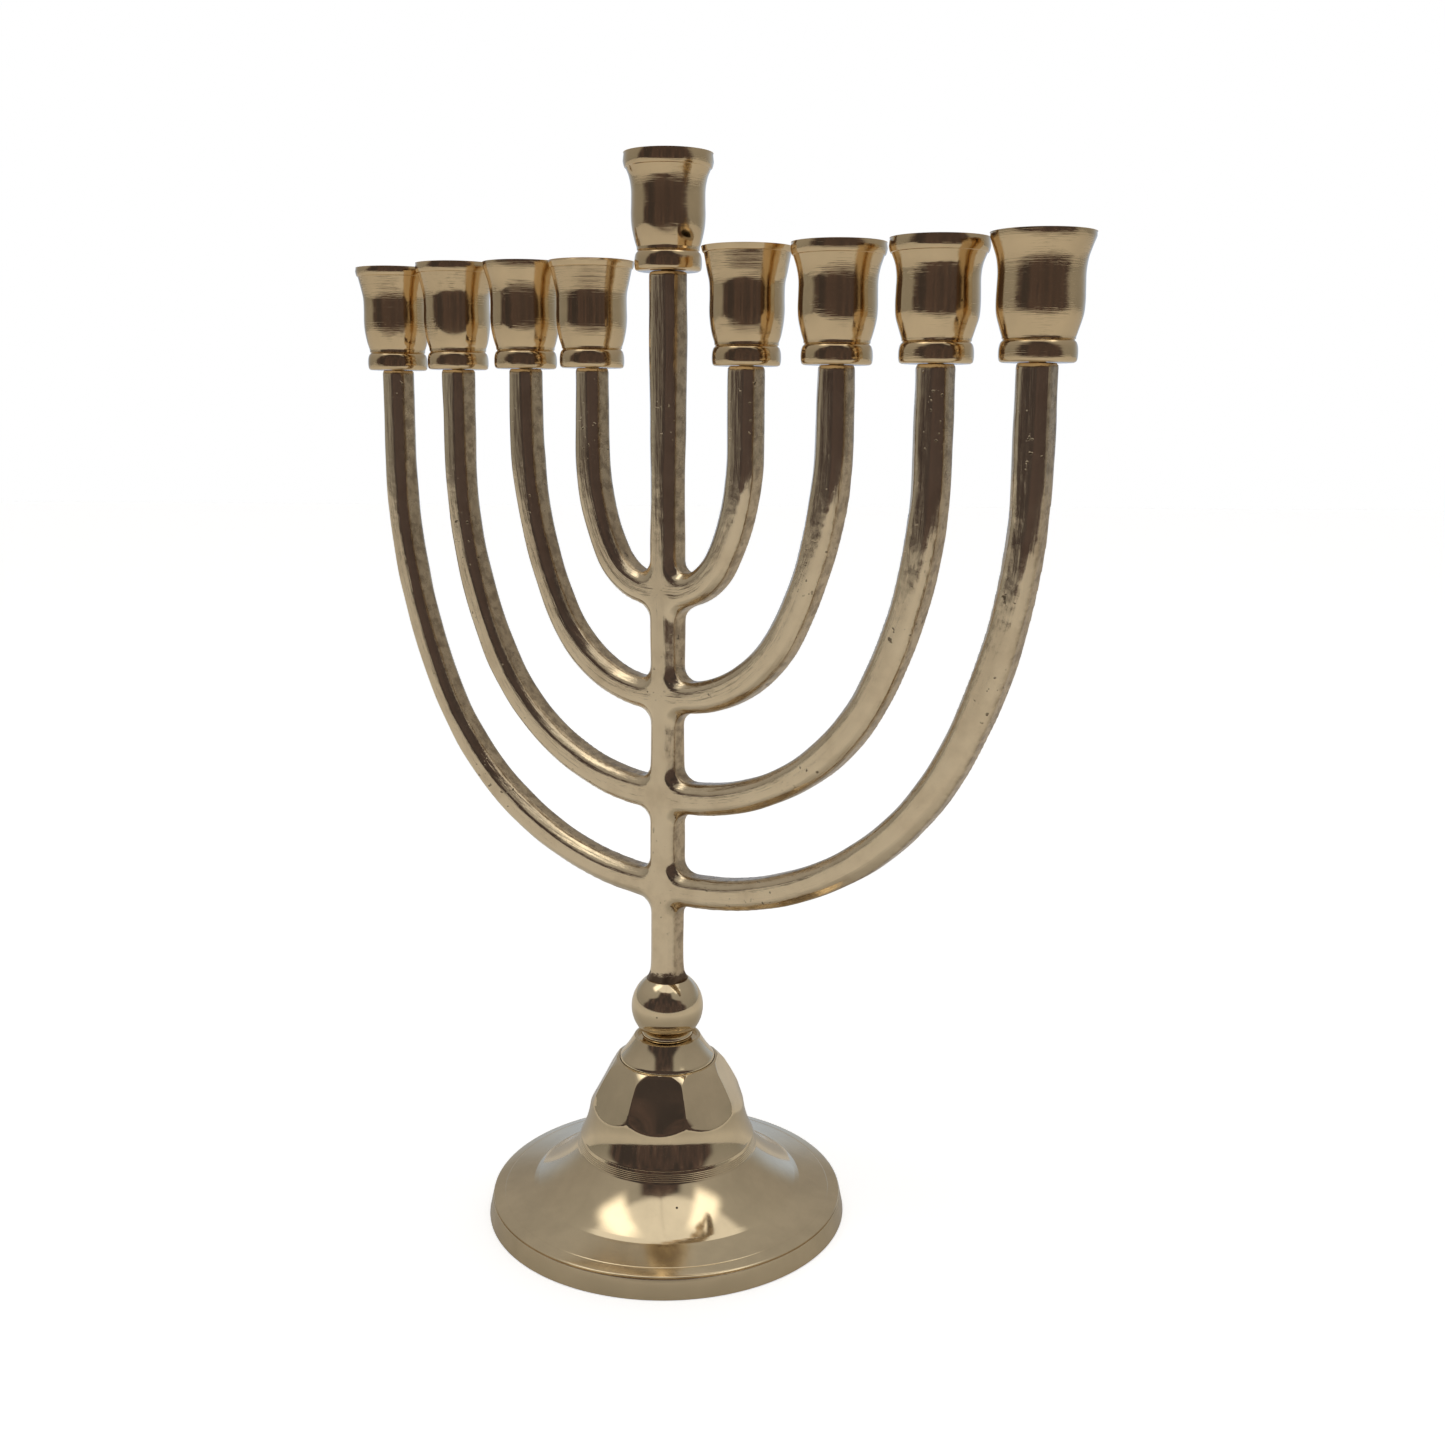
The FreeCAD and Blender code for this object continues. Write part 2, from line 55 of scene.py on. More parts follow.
def arc(start, end, radius, steps=14):
    """Points after start up to end, on the short arc that lies right of the way between them.

    A minus radius gives the arc on the left.
    """
    start, end = np.array(start, float), np.array(end, float)
    chord = end - start
    half = np.linalg.norm(chord) / 2
    across = np.array([chord[1], -chord[0]]) / (2 * half)
    sign = math.copysign(1, radius)
    centre = (start + end) / 2 - across * sign * math.sqrt(max(radius**2 - half**2, 0))
    first = math.atan2(*(start - centre)[::-1])
    sweep = -sign * 2 * math.asin(min(half / abs(radius), 1))
    turns = first - sweep * np.arange(1, steps + 1) / steps
    return [tuple(centre + abs(radius) * np.array([math.cos(t), math.sin(t)])) for t in turns]


def eased(corners, steps=5):
    """A closed outline whose corners (radius, height, ease) are rounded off by their ease."""
    points = []
    for place, (r, z, ease) in enumerate(corners):
        here = np.array([r, z])
        if ease == 0:
            points.append((r, z))
            continue
        before = np.array(corners[place - 1][:2]) - here
        after = np.array(corners[(place + 1) % len(corners)][:2]) - here
        reach = min(ease, 0.45 * np.linalg.norm(before), 0.45 * np.linalg.norm(after))
        start = here + before / np.linalg.norm(before) * reach
        end = here + after / np.linalg.norm(after) * reach
        for t in np.linspace(0, 1, steps):
            points.append(tuple((1 - t) ** 2 * start + 2 * t * (1 - t) * here + t**2 * end))
    return points


def smooth_run(points, steps=8):
    """A Catmull-Rom curve through points (radius, height)."""
    p = np.array(points, float)
    p = np.vstack([2 * p[0] - p[1], p, 2 * p[-1] - p[-2]])
    run = [tuple(p[1])]
    for a, b, c, d in zip(p, p[1:], p[2:], p[3:]):
        for t in np.arange(1, steps + 1) / steps:
            run.append(tuple(0.5 * (2 * b + (c - a) * t + (2 * a - 5 * b + 4 * c - d) * t**2
                                    + (3 * b - a - 3 * c + d) * t**3)))
    return run


def turned(name, outline, steps=TURNED_STEPS, shape=None):
    """A mesh turned from a closed outline in millimetres, with turning coordinates for the metal.

    shape, if given, changes the radius at each (turn, radius, height).
    """
    outline = np.array(outline, float)
    after = np.roll(outline, -1, axis=0)
    area = np.sum(outline[:, 0] * after[:, 1] - after[:, 0] * outline[:, 1])
    if area < 0:
        outline = outline[::-1]
    turns = np.arange(steps) * 2 * math.pi / steps
    verts, rings = [], []
    for r, z in outline:
        if r < 1e-6:
            rings.append([len(verts)] * steps)
            verts.append((0, 0, z * MM))
            continue
        rings.append(list(range(len(verts), len(verts) + steps)))
        radii = np.full(steps, r) if shape is None else shape(turns, r, z)
        across, deep = radii * np.cos(turns) * MM, radii * np.sin(turns) * MM
        verts += list(zip(across, deep, np.full(steps, z * MM)))
    faces = []
    for lower, upper in zip(rings, rings[1:] + rings[:1]):
        for k in range(steps):
            face = (lower[k], lower[(k + 1) % steps], upper[(k + 1) % steps], upper[k])
            face = tuple(dict.fromkeys(face))
            if len(face) > 2:
                faces.append(face)
    mesh = bpy.data.meshes.new(name)
    mesh.from_pydata(verts, [], faces)
    mesh.validate()
    keep_turning(mesh)
    return mesh


def keep_turning(mesh, centre=(0, 0, 0)):
    """Stores (radius, height, side) of each point about the piece's own axis, in millimetres.

    The radius is a little off centre, as a hand-held tool leaves it, and the side runs from -1 to 1
    round the axis.
    """
    points = np.empty(len(mesh.vertices) * 3)
    mesh.vertices.foreach_get("co", points)
    points = (points.reshape(-1, 3) - np.array(centre)) / MM
    turns = np.arctan2(points[:, 1], points[:, 0])
    radii = np.hypot(points[:, 0], points[:, 1]) + OFF_CENTRE * np.cos(turns)
    turning = np.column_stack([radii, points[:, 2], np.sin(turns)])
    layer = mesh.attributes.new("turning", "FLOAT_VECTOR", "POINT")
    layer.data.foreach_set("vector", turning.ravel().astype(np.float32))


def piece(name, mesh, material, body, *nodes, crease=35):
    """Puts a finished mesh in the scene in place of its CAD nodes."""
    thing = bpy.data.objects.new(name, mesh)
    bpy.context.scene.collection.objects.link(thing)
    mesh.materials.clear()
    mesh.materials.append(material)
    mesh.shade_smooth()
    mesh.set_sharp_from_angle(angle=math.radians(crease))
    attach(thing, body)
    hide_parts(*nodes)


class Wiring:
    """Short spelling for building a node tree."""

    def __init__(self, tree):
        self.tree = tree

    def add(self, kind, values=None, **settings):
        """A node with its settings; values maps its inputs to numbers or other nodes' outputs."""
        node = self.tree.nodes.new(kind)
        for key, value in settings.items():
            setattr(node, key, value)
        for key, value in (values or {}).items():
            self.put(node, key, value)
        return node

    def put(self, node, key, value):
        if isinstance(value, bpy.types.NodeSocket):
            self.tree.links.new(value, node.inputs[key])
        else:
            node.inputs[key].default_value = value

    def maths(self, operation, *values):
        return self.add("ShaderNodeMath", dict(enumerate(values)), operation=operation).outputs[0]

    def noise(self, vector, scale, detail=2.0, rough=0.5):
        return self.add("ShaderNodeTexNoise", {"Vector": vector, "Scale": scale, "Detail": detail,
                                               "Roughness": rough}).outputs["Fac"]

    def stretch(self, vector, scale, turn=(0, 0, 0)):
        return self.add("ShaderNodeMapping", {"Vector": vector, "Scale": scale,
                                              "Rotation": turn}).outputs[0]

    def ramp(self, value, stops):
        node = self.add("ShaderNodeValToRGB")
        ramp = node.color_ramp
        while len(ramp.elements) < len(stops):
            ramp.elements.new(0.5)
        for element, (place, colour) in zip(ramp.elements, stops):
            element.position = place
            element.color = (*colour, 1)
        self.tree.links.new(value, node.inputs[0])
        return node.outputs[0]

    def fade(self, value, start, end):
        """0 up to start, 1 from end on, and a smooth step between them."""
        return self.add("ShaderNodeMapRange", {"Value": value, "From Min": start, "From Max": end},
                        interpolation_type="SMOOTHSTEP").outputs[0]

    def blend(self, share, first, second):
        """first where share is 0, second where it is 1."""
        node = self.add("ShaderNodeMix", {0: share}, data_type="RGBA")
        for place, colour in ((6, first), (7, second)):
            plain = not isinstance(colour, bpy.types.NodeSocket)
            self.put(node, place, (*colour, 1) if plain else colour)
        return node.outputs[2]


class Recipe(Wiring):
    """A metal or other surface: a material with one Principled shader."""

    def __init__(self, name):
        self.material = bpy.data.materials.new(name)
        self.material.use_nodes = True
        super().__init__(self.material.node_tree)
        self.tree.nodes.clear()
        self.out = self.add("ShaderNodeOutputMaterial")
        self.skin = self.add("ShaderNodeBsdfPrincipled")
        self.tree.links.new(self.skin.outputs[0], self.out.inputs[0])

    def bumps(self, layers):
        """Chains (height, strength, distance in millimetres) into one normal."""
        normal = None
        for height, strength, distance in layers:
            node = self.add("ShaderNodeBump", {"Height": height, "Strength": strength,
                                               "Distance": distance * MM})
            if normal is not None:
                self.put(node, "Normal", normal)
            normal = node.outputs[0]
        return normal


BRASS = (0.80, 0.645, 0.42)
PIT_BLACK = (0.03, 0.02, 0.015)


def turned_brass(name, dull, ring_depth, rings, patches=0.5, satin=None, tint=BRASS, chatter=0.0,
                 dents=0.0, pits=()):
    """Polished brass with the rings of the lathe tool, thin scratches and duller patches.

    dull is its roughness and ring_depth the depth of its rings, of which there are about rings to
    a millimetre. patches is the strength of the duller patches. satin is (radius, roughness): the
    finish is duller by that from that radius out. chatter is the depth of the coarse rings that
    come and go, dents that of the slow unevenness, both in millimetres. Each of the pits is
    (x, y, z, radius) of a small dark casting hole.
    """
    m = Recipe(name)
    turning = m.add("ShaderNodeAttribute", attribute_name="turning").outputs["Vector"]
    place = m.add("ShaderNodeTexCoord").outputs["Object"]
    ring_lines = m.noise(m.stretch(turning, (rings, rings, 0.12)), 1.0, 4.0, 0.7)
    fine_lines = m.noise(m.stretch(turning, (rings * 5, rings * 5, 0.5)), 1.0, 2.0, 0.6)
    cloud = m.noise(place, 90.0, 4.0, 0.6)
    speck = m.noise(place, 900.0, 2.0, 0.5)
    scratch = m.noise(m.stretch(place, (900, 70, 260), (0.3, 0.8, 0.4)), 1.0, 2.0, 0.5)
    chatter_lines = m.noise(m.stretch(turning, (2.1, 2.1, 0.6)), 1.0, 3.0, 0.8)
    chatter_here = m.fade(m.noise(m.stretch(turning, (0.16, 0.16, 1.3)), 1.0, 2.0, 0.6), 0.40, 0.58)
    uneven = m.noise(place, 260.0, 2.5, 0.5)
    darker = tuple(c * 0.86 for c in tint)
    colour = m.ramp(cloud, [(0.3, darker), (0.65, tint)])
    hole = None
    for x, y, z, wide in pits:
        gap = m.add("ShaderNodeVectorMath", {0: place, 1: (x * MM, y * MM, z * MM)},
                    operation="DISTANCE")
        mask = m.fade(gap.outputs["Value"], wide * 1.1 * MM, wide * 0.6 * MM)
        hole = mask if hole is None else m.maths("MAXIMUM", hole, mask)
    if hole is not None:
        colour = m.blend(hole, colour, PIT_BLACK)
    m.put(m.skin, "Base Color", colour)
    m.skin.inputs["Metallic"].default_value = 1.0
    roughness = m.maths("MULTIPLY_ADD", cloud, 0.16 * patches, dull - 0.08 * patches)
    roughness = m.maths("MULTIPLY_ADD", fine_lines, 0.05, roughness)
    if satin:
        radius = m.add("ShaderNodeSeparateXYZ", {"Vector": turning}).outputs["X"]
        satin_radius, extra = satin
        outer = m.fade(radius, satin_radius - 2, satin_radius + 2)
        roughness = m.maths("MULTIPLY_ADD", outer, extra, roughness)
    m.put(m.skin, "Roughness", m.maths("MAXIMUM", roughness, 0.03))
    m.put(m.skin, "Normal", m.bumps([
        (ring_lines, 0.5, ring_depth),
        (fine_lines, 0.3, ring_depth * 0.4),
        (m.maths("MULTIPLY", chatter_lines, chatter_here), 0.5, chatter),
        (uneven, 0.5, dents),
        (scratch, 0.12, 0.006),
        (speck, 0.05, 0.006),
    ]))
    return m.material


foot_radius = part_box("base_plate")[1].x / MM
seat_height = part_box("base_plate")[1].z / MM
SEAT_RADIUS = 22.0
FLARE_TOP_RADIUS, FLARE_TOP_HEIGHT = 22.9, 17.3
FLARE_FOOT_RADIUS, FLARE_FOOT_HEIGHT = 34.0, 7.9
FLARE_BEND = 44.0
BOLT_HOLE = 4.2
HOLLOW_ROOF_RADIUS, HOLLOW_ROOF_HEIGHT = 18.4, 16.8
HOLLOW_BEND = 15.5
MARK_PITCH = 0.42
MARK_SHAPE = ((0.0, 0.0), (0.07, 0.05), (0.14, 0.0))

plate_brass = turned_brass("plate_brass", 0.06, 0.004, rings=2.6, satin=(FLARE_FOOT_RADIUS, 0.05),
                           chatter=0.004, dents=0.006, pits=[(18.4, -19.7, 13.1, 0.33)])

hollow = arc((HOLLOW_ROOF_RADIUS, HOLLOW_ROOF_HEIGHT), (31.5, 5.2), HOLLOW_BEND, 18)
foot_edge = eased([(41.2, 2.6, 0.8), (42.3, 0.0, 0.4), (foot_radius, 0.0, 0.4), (44.8, 5.0, 0.25)])
rim = [(44.72, 5.22), (44.6, 5.38), (44.5, 5.43), (44.35, 5.48), (44.1, 5.54)]
rim_ring = [(42.0, 6.03), (41.9, 6.05), (41.8, 6.02), (41.7, 6.10), (41.6, 6.12)]
shoulder = [(35.6, 7.53), (35.1, 7.64)] + eased([(34.9, 7.69, 0.0),
                                                 (FLARE_FOOT_RADIUS, FLARE_FOOT_HEIGHT, 0.7)])
flare = arc((FLARE_FOOT_RADIUS, FLARE_FOOT_HEIGHT), (FLARE_TOP_RADIUS, FLARE_TOP_HEIGHT),
            -FLARE_BEND, 40)
tool_marks = []
seat_wall = FLARE_TOP_RADIUS - SEAT_RADIUS
for start in np.arange(FLARE_TOP_HEIGHT + 0.2, seat_height - 0.5, MARK_PITCH):
    for up, cut in MARK_SHAPE:
        lean = seat_wall * (seat_height - start - up) / (seat_height - FLARE_TOP_HEIGHT)
        tool_marks.append((SEAT_RADIUS + lean - cut, start + up))
plate_outline = (
    eased([(BOLT_HOLE, seat_height, 0.3), (BOLT_HOLE, HOLLOW_ROOF_HEIGHT, 0.3)])
    + [(HOLLOW_ROOF_RADIUS, HOLLOW_ROOF_HEIGHT)] + hollow + foot_edge + rim + rim_ring + shoulder
    + flare[1:] + tool_marks + [(SEAT_RADIUS, seat_height)]
)
plate_mesh = turned("base_plate_turned", plate_outline)
piece("foot_plate", plate_mesh, plate_brass, "base", "base_plate")

# ---- Washer and bolt under the base --------------------------------------------------------------
# A zinc-plated hexagon bolt and its washer pull the bell down on the plate. Both are bought parts,
# out of sight in the hollow of the foot.


def plated_steel(name):
    """Zinc plate: pale, slightly yellow, with a soft spangle."""
    m = Recipe(name)
    place = m.add("ShaderNodeTexCoord").outputs["Object"]
    spangle = m.noise(place, 700.0, 3.0, 0.6)
    colour = m.ramp(spangle, [(0.3, (0.50, 0.50, 0.48)), (0.7, (0.66, 0.65, 0.60))])
    m.put(m.skin, "Base Color", colour)
    m.skin.inputs["Metallic"].default_value = 1.0
    m.put(m.skin, "Roughness", m.maths("MULTIPLY_ADD", spangle, 0.25, 0.22))
    m.put(m.skin, "Normal", m.bumps([(spangle, 0.2, 0.02)]))
    return m.material


WASHER_RADIUS = 8.0
SHANK_RADIUS = 4.0
HALF_SPANNER = 6.5
HEAD_RADIUS = 7.5
HEAD_FACE_RADIUS = 6.1

zinc = plated_steel("zinc_plate")
washer_low, washer_high = (corner.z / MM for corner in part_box("base_washer"))
washer_outline = eased([(BOLT_HOLE, washer_low, 0.2), (WASHER_RADIUS, washer_low, 0.4),
                        (WASHER_RADIUS, washer_high, 0.2), (BOLT_HOLE, washer_high, 0.2)])
washer_mesh = turned("plate_washer_turned", washer_outline, 96)
piece("plate_washer", washer_mesh, zinc, "base", "base_washer")


def hexagon(turns, r, z):
    """Cuts a radius back to the six flats of a 13 mm spanner size, below the washer only."""
    if z > washer_low - 0.01:
        return np.full(len(turns), r)
    flat = (turns + math.pi / 6) % (math.pi / 3) - math.pi / 6
    return np.minimum(r, HALF_SPANNER / np.cos(flat))


bolt_low, bolt_high = (corner.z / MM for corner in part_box("base_bolt"))
bolt_outline = (
    [(0.0, bolt_low + 0.6), (4.6, bolt_low + 0.6), (5.1, bolt_low), (HEAD_FACE_RADIUS, bolt_low)]
    + arc((HEAD_FACE_RADIUS, bolt_low), (HEAD_RADIUS, bolt_low + 0.8), -4.0, 6)
    + [(HEAD_RADIUS, washer_low - 0.05), (6.2, washer_low - 0.02), (6.2, washer_low)]
    + [(SHANK_RADIUS, washer_low), (SHANK_RADIUS, bolt_high - 0.6)]
    + [(3.4, bolt_high), (0.0, bolt_high)]
)
bolt_mesh = turned("plate_bolt_turned", bolt_outline, 144, hexagon)
piece("plate_bolt", bolt_mesh, zinc, "base", "base_bolt")

# ---- Bell ----------------------------------------------------------------------------------------
# The dome over the plate is a brass casting, turned round and then ground to eight shallow flats
# by hand, which gives the scalloped edge. It is polished brighter than the plate.

bell_brass = turned_brass("bell_brass", 0.04, 0.003, rings=2.0, patches=0.3, dents=0.012)
bell_foot, bell_top = (corner.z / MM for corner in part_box("bell"))
FLAT_TURN = math.radians(29.5 - 90.0)
FLAT_STEP = math.radians(45.0)
FLAT_HEIGHT = 33.0
FLAT_RADIUS = 17.2
FLAT_LEAN = 0.56
FLAT_MIDDLE = 34.5
FLAT_CROWN = 0.10
RIDGE_SOFT = 0.14
BELL_RADIUS = 22.2
BAND_TOP = (19.6, 29.2)
BAND_BEND = 25.0
DOME_BEND = 20.5
BOSS_RADIUS = 8.2
BOSS_ROOF = 35.6
SPIGOT_HOLE = 5.05
SPIGOT_HOLE_END = 31.0
BOLT_THREAD = 4.05
BOLT_HOLE_END = 28.6


def ground_flats(turns, r, z):
    """Cuts the dome back to its nearest flat, which leans in at the top and has soft ridges."""
    if r < 12.0 or z < 26.0 or z > bell_top - 0.1:
        return np.full(len(turns), r)
    off = (turns - FLAT_TURN + FLAT_STEP / 2) % FLAT_STEP - FLAT_STEP / 2
    middle = FLAT_RADIUS - FLAT_LEAN * (z - FLAT_HEIGHT) - 0.0035 * (z - FLAT_MIDDLE) ** 2
    side = np.tan(off) * middle / 7.0
    rise = (z - FLAT_MIDDLE) / 5.5
    rounding = np.interp(z, [28.5, 30, 32, 34, 36, 38], [0.36, 0.46, 0.74, 0.86, 0.96, 1.0])
    hollow_cut = FLAT_CROWN * np.clip(1 - side**2, 0, 1) * max(1 - rise**2, 0)
    face = middle / np.cos(off) ** rounding - hollow_cut
    nearer = np.minimum(r, face)
    return nearer - RIDGE_SOFT * 0.25 * np.clip(1 - np.abs(r - face) / RIDGE_SOFT, 0, 1) ** 2


band = arc((BELL_RADIUS, 20.3), BAND_TOP, -BAND_BEND, 30)
dome = arc(BAND_TOP, (13.0, bell_top - 0.1), DOME_BEND, 110)
bell_outline = (
    eased([(BOLT_THREAD, bell_foot, 0.2), (BOSS_RADIUS, bell_foot, 0.2)])
    + [(BOSS_RADIUS, BOSS_ROOF), (11.0, BOSS_ROOF)] + arc((11.0, BOSS_ROOF), (18.2, 27.0), 29.0, 12)
    + [(19.4, bell_foot), (22.1, bell_foot), (22.28, bell_foot + 0.15), (22.24, bell_foot + 0.3)]
    + band + dome
    + eased([(12.7, bell_top, 0.1), (SPIGOT_HOLE, bell_top, 0.3),
             (SPIGOT_HOLE, SPIGOT_HOLE_END, 0.0)])
    + [(0.0, SPIGOT_HOLE_END), (0.0, BOLT_HOLE_END), (BOLT_THREAD, BOLT_HOLE_END)]
)
bell_mesh = turned("bell_turned", bell_outline, 480, ground_flats)
piece("bell_dome", bell_mesh, bell_brass, "base", "bell", crease=40)

# ---- Collar --------------------------------------------------------------------------------------
# A small brass cone covers the joint between bell and ball. It is loose on the spigot, with a
# recess on top for the ball's bead.

cone_brass = turned_brass("cone_brass", 0.07, 0.003, rings=2.5, dents=0.02)
collar_foot, collar_top = (corner.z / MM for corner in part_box("collar"))
COLLAR_HOLE = 5.15
COLLAR_RADIUS = 12.3
COLLAR_BEND = 26.0
RECESS_RADIUS = 7.6
RECESS_FLOOR = 46.0
collar_outline = (
    eased([(COLLAR_HOLE, collar_foot, 0.2), (COLLAR_RADIUS, collar_foot, 0.25)])
    + arc((12.25, collar_foot + 0.3), (8.4, collar_top - 0.15), -COLLAR_BEND, 16)
    + eased([(8.2, collar_top, 0.15), (RECESS_RADIUS, collar_top, 0.15),
             (RECESS_RADIUS, RECESS_FLOOR, 0.2), (COLLAR_HOLE, RECESS_FLOOR, 0.15)])
)
piece("collar_cone", turned("collar_turned", collar_outline), cone_brass, "collar", "collar")

# ---- Knop ----------------------------------------------------------------------------------------
# The ball, the bead under it and the threaded spigot are one brass turning. The stem's end is
# brazed on top of the ball, which leaves a ragged dark ring there.

ball_brass = turned_brass("ball_brass", 0.06, 0.002, rings=1.5, patches=0.4, dents=0.015,
                          pits=[(3.31, -8.47, 54.7, 0.22)])
spigot_end, ball_top = (corner.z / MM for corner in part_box("knop"))
THREAD_PITCH = 1.5
THREAD_DEPTH = 0.75
THREAD_TOP = 44.5
SPIGOT_RADIUS = 5.0
BALL_RADIUS = 9.1
BEAD_BEND = 1.15


def spigot_thread(turns, r, z):
    """Winds a right-hand thread into the spigot, below the ball's seat."""
    if not (SPIGOT_RADIUS - 0.1 < r < SPIGOT_RADIUS + 0.05 and z < THREAD_TOP):
        return np.full(len(turns), r)
    lead = (z / THREAD_PITCH - turns / (2 * math.pi)) % 1.0
    return r - THREAD_DEPTH * np.abs(2 * lead - 1)


knop_outline = (
    [(0.0, spigot_end), (4.0, spigot_end)]
    + [(SPIGOT_RADIUS, z) for z in np.arange(spigot_end + 0.7, THREAD_TOP, THREAD_PITCH / 8)]
    + [(SPIGOT_RADIUS, RECESS_FLOOR), (5.7, RECESS_FLOOR), (5.95, RECESS_FLOOR + 0.3)]
    + arc((5.95, RECESS_FLOOR + 0.3), (5.8, 48.3), BEAD_BEND, 12) + [(5.85, 48.45)]
    + arc((6.77, 48.52), (5.2966, ball_top), BALL_RADIUS, 64)
    + [(0.0, ball_top)]
)
knop_mesh = turned("knop_turned", knop_outline, 200, spigot_thread)
piece("ball_knop", knop_mesh, ball_brass, "branches", "knop")

# ---- Stem and arms -------------------------------------------------------------------------------
# Stem and arms are one flat brass casting: bars with flat front and back, bevelled edges and soft
# webs where they meet. The faces were filed lengthwise, and the narrow sides keep the grain of the
# sand.

# Height of each pair's foot on the stem, its rise to where it stands upright, and its middle bend
ARM_FEET = {1: (160.6, 33.0, 16.0), 2: (134.9, 64.0, 36.0), 3: (110.0, 82.0, 57.0),
            4: (86.5, 104.0, 76.0)}
STEM_HALF = 3.95
BAR_HALF = 3.8
BAR_DEEP = 3.7
BEVEL = 1.75
EDGE_SOFT = 0.3
WEB_FILLET = 4.2
FOOT_SPREAD = 0.9
FOOT_SPREAD_HEIGHT = 1.3
SCREW_HOLE = 1.55
SCREW_HOLE_DEPTH = 8
FAR_OFF = 50.0
SKIN = 0.64


def arm_line(number, reach):
    """Points (across, up) of an arm's middle line: level, then three tangent arcs, then upright."""
    foot, rise, bend = ARM_FEET[number]
    first, second = math.radians(32), math.radians(62)
    reach = reach - STEM_HALF
    left_x = reach - bend * (math.sin(second) - math.sin(first))
    left_z = rise - bend * (math.cos(first) - math.cos(second))
    a, b, c, d = math.sin(first), 1 - math.sin(second), 1 - math.cos(first), math.cos(second)
    low = (left_x * d - left_z * b) / (a * d - b * c)
    high = (left_z * a - left_x * c) / (a * d - b * c)
    points = [(0.0, foot)]
    centre = np.array([STEM_HALF, foot + low])
    for radius, start, end, after in ((low, 0, first, bend), (bend, first, second, high),
                                      (high, second, math.pi / 2, high)):
        for t in np.linspace(start, end, 26)[0 if start == 0 else 1:]:
            points.append(tuple(centre + radius * np.array([math.sin(t), -math.cos(t)])))
        centre = centre + (radius - after) * np.array([math.sin(end), -math.cos(end)])
    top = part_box("arm_right_1")[1].z / MM
    points += [(points[-1][0], z) for z in np.linspace(points[-1][1], top, 12)[1:]]
    points.append((points[-1][0], top + SCREW_HOLE_DEPTH))
    return np.array(points)


def away_from(line, x, z):
    """Each point's distance to a line, how far along the line it lies, and how far to its side."""
    best = np.full(x.shape, 1e9)
    along = np.zeros(x.shape)
    side = np.zeros(x.shape)
    run = 0.0
    for start, end in zip(line, line[1:]):
        step = end - start
        length = np.linalg.norm(step)
        across_x, across_z = x - start[0], z - start[1]
        t = np.clip((across_x * step[0] + across_z * step[1]) / length**2, 0, 1)
        gap = np.hypot(across_x - t * step[0], across_z - t * step[1])
        closer = gap < best
        best = np.where(closer, gap, best)
        along = np.where(closer, run + t * length, along)
        side = np.where(closer, (across_x * step[1] - across_z * step[0]) / length, side)
        run += length
    return best, along, side


def soft_min(a, b, blend):
    """The smaller of two distances, with a fillet where they are close."""
    mix = np.clip(0.5 + 0.5 * (b - a) / blend, 0, 1)
    return b + (a - b) * mix - blend * mix * (1 - mix)


def soft_max(a, b, blend):
    return -soft_min(-a, -b, blend)


arm_tops = {}
bars = []
for side_name, way in (("left", -1), ("right", 1)):
    for number in range(1, 5):
        low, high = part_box(f"arm_{side_name}_{number}")
        far = max(abs(low.x), abs(high.x)) / MM
        reach = far - BAR_HALF
        arm_tops[f"{side_name}_{number}"] = (way * reach, high.z / MM)
        line = arm_line(number, reach)
        line[:, 0] *= way
        bars.append(line)
stem_low, stem_high = (corner.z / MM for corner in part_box("stem"))
arm_tops["middle"] = (0.0, stem_high)

grid_low = np.array([min(line[:, 0].min() for line in bars) - 7, -BAR_DEEP - 2.2, stem_low - 4])
grid_high = np.array([max(line[:, 0].max() for line in bars) + 7, BAR_DEEP + 2.2, stem_high + 4])
counts = np.ceil((grid_high - grid_low) / SKIN).astype(int) + 1
xs, ys, zs = (grid_low[k] + SKIN * np.arange(counts[k]) for k in range(3))
flat_x, flat_z = np.meshgrid(xs, zs, indexing="ij")


def waver(along, size, phase):
    """Slow unevenness of a hand-filed bar."""
    return size * (np.sin(along / 9.0 + phase) + 0.6 * np.sin(along / 4.1 + 2.3 * phase)
                   + 0.35 * np.sin(along / 1.9 + 4.1 * phase))


stem_gap = np.abs(flat_x) - STEM_HALF + 0.15 - 0.35 * np.clip((flat_z - 180) / 55, 0, 1)
stem_foot = np.exp(-np.clip(flat_z - stem_low, 0, None) / FOOT_SPREAD_HEIGHT)
stem_gap = stem_gap - FOOT_SPREAD * stem_foot
outline_gap = stem_gap + waver(flat_z, 0.05, 0.4)
for place, line in enumerate(bars):
    gap, along, _ = away_from(line, flat_x, flat_z)
    arm_gap = gap - BAR_HALF + waver(along, 0.065, 1.7 * place)
    arm_gap = np.where(flat_z > line[-1][1] - SCREW_HOLE_DEPTH, FAR_OFF, arm_gap)
    outline_gap = soft_min(outline_gap, arm_gap, WEB_FILLET)
arm_top = arm_tops["right_1"][1]
above = np.where(np.abs(flat_x) < 10, flat_z - stem_high, flat_z - arm_top)

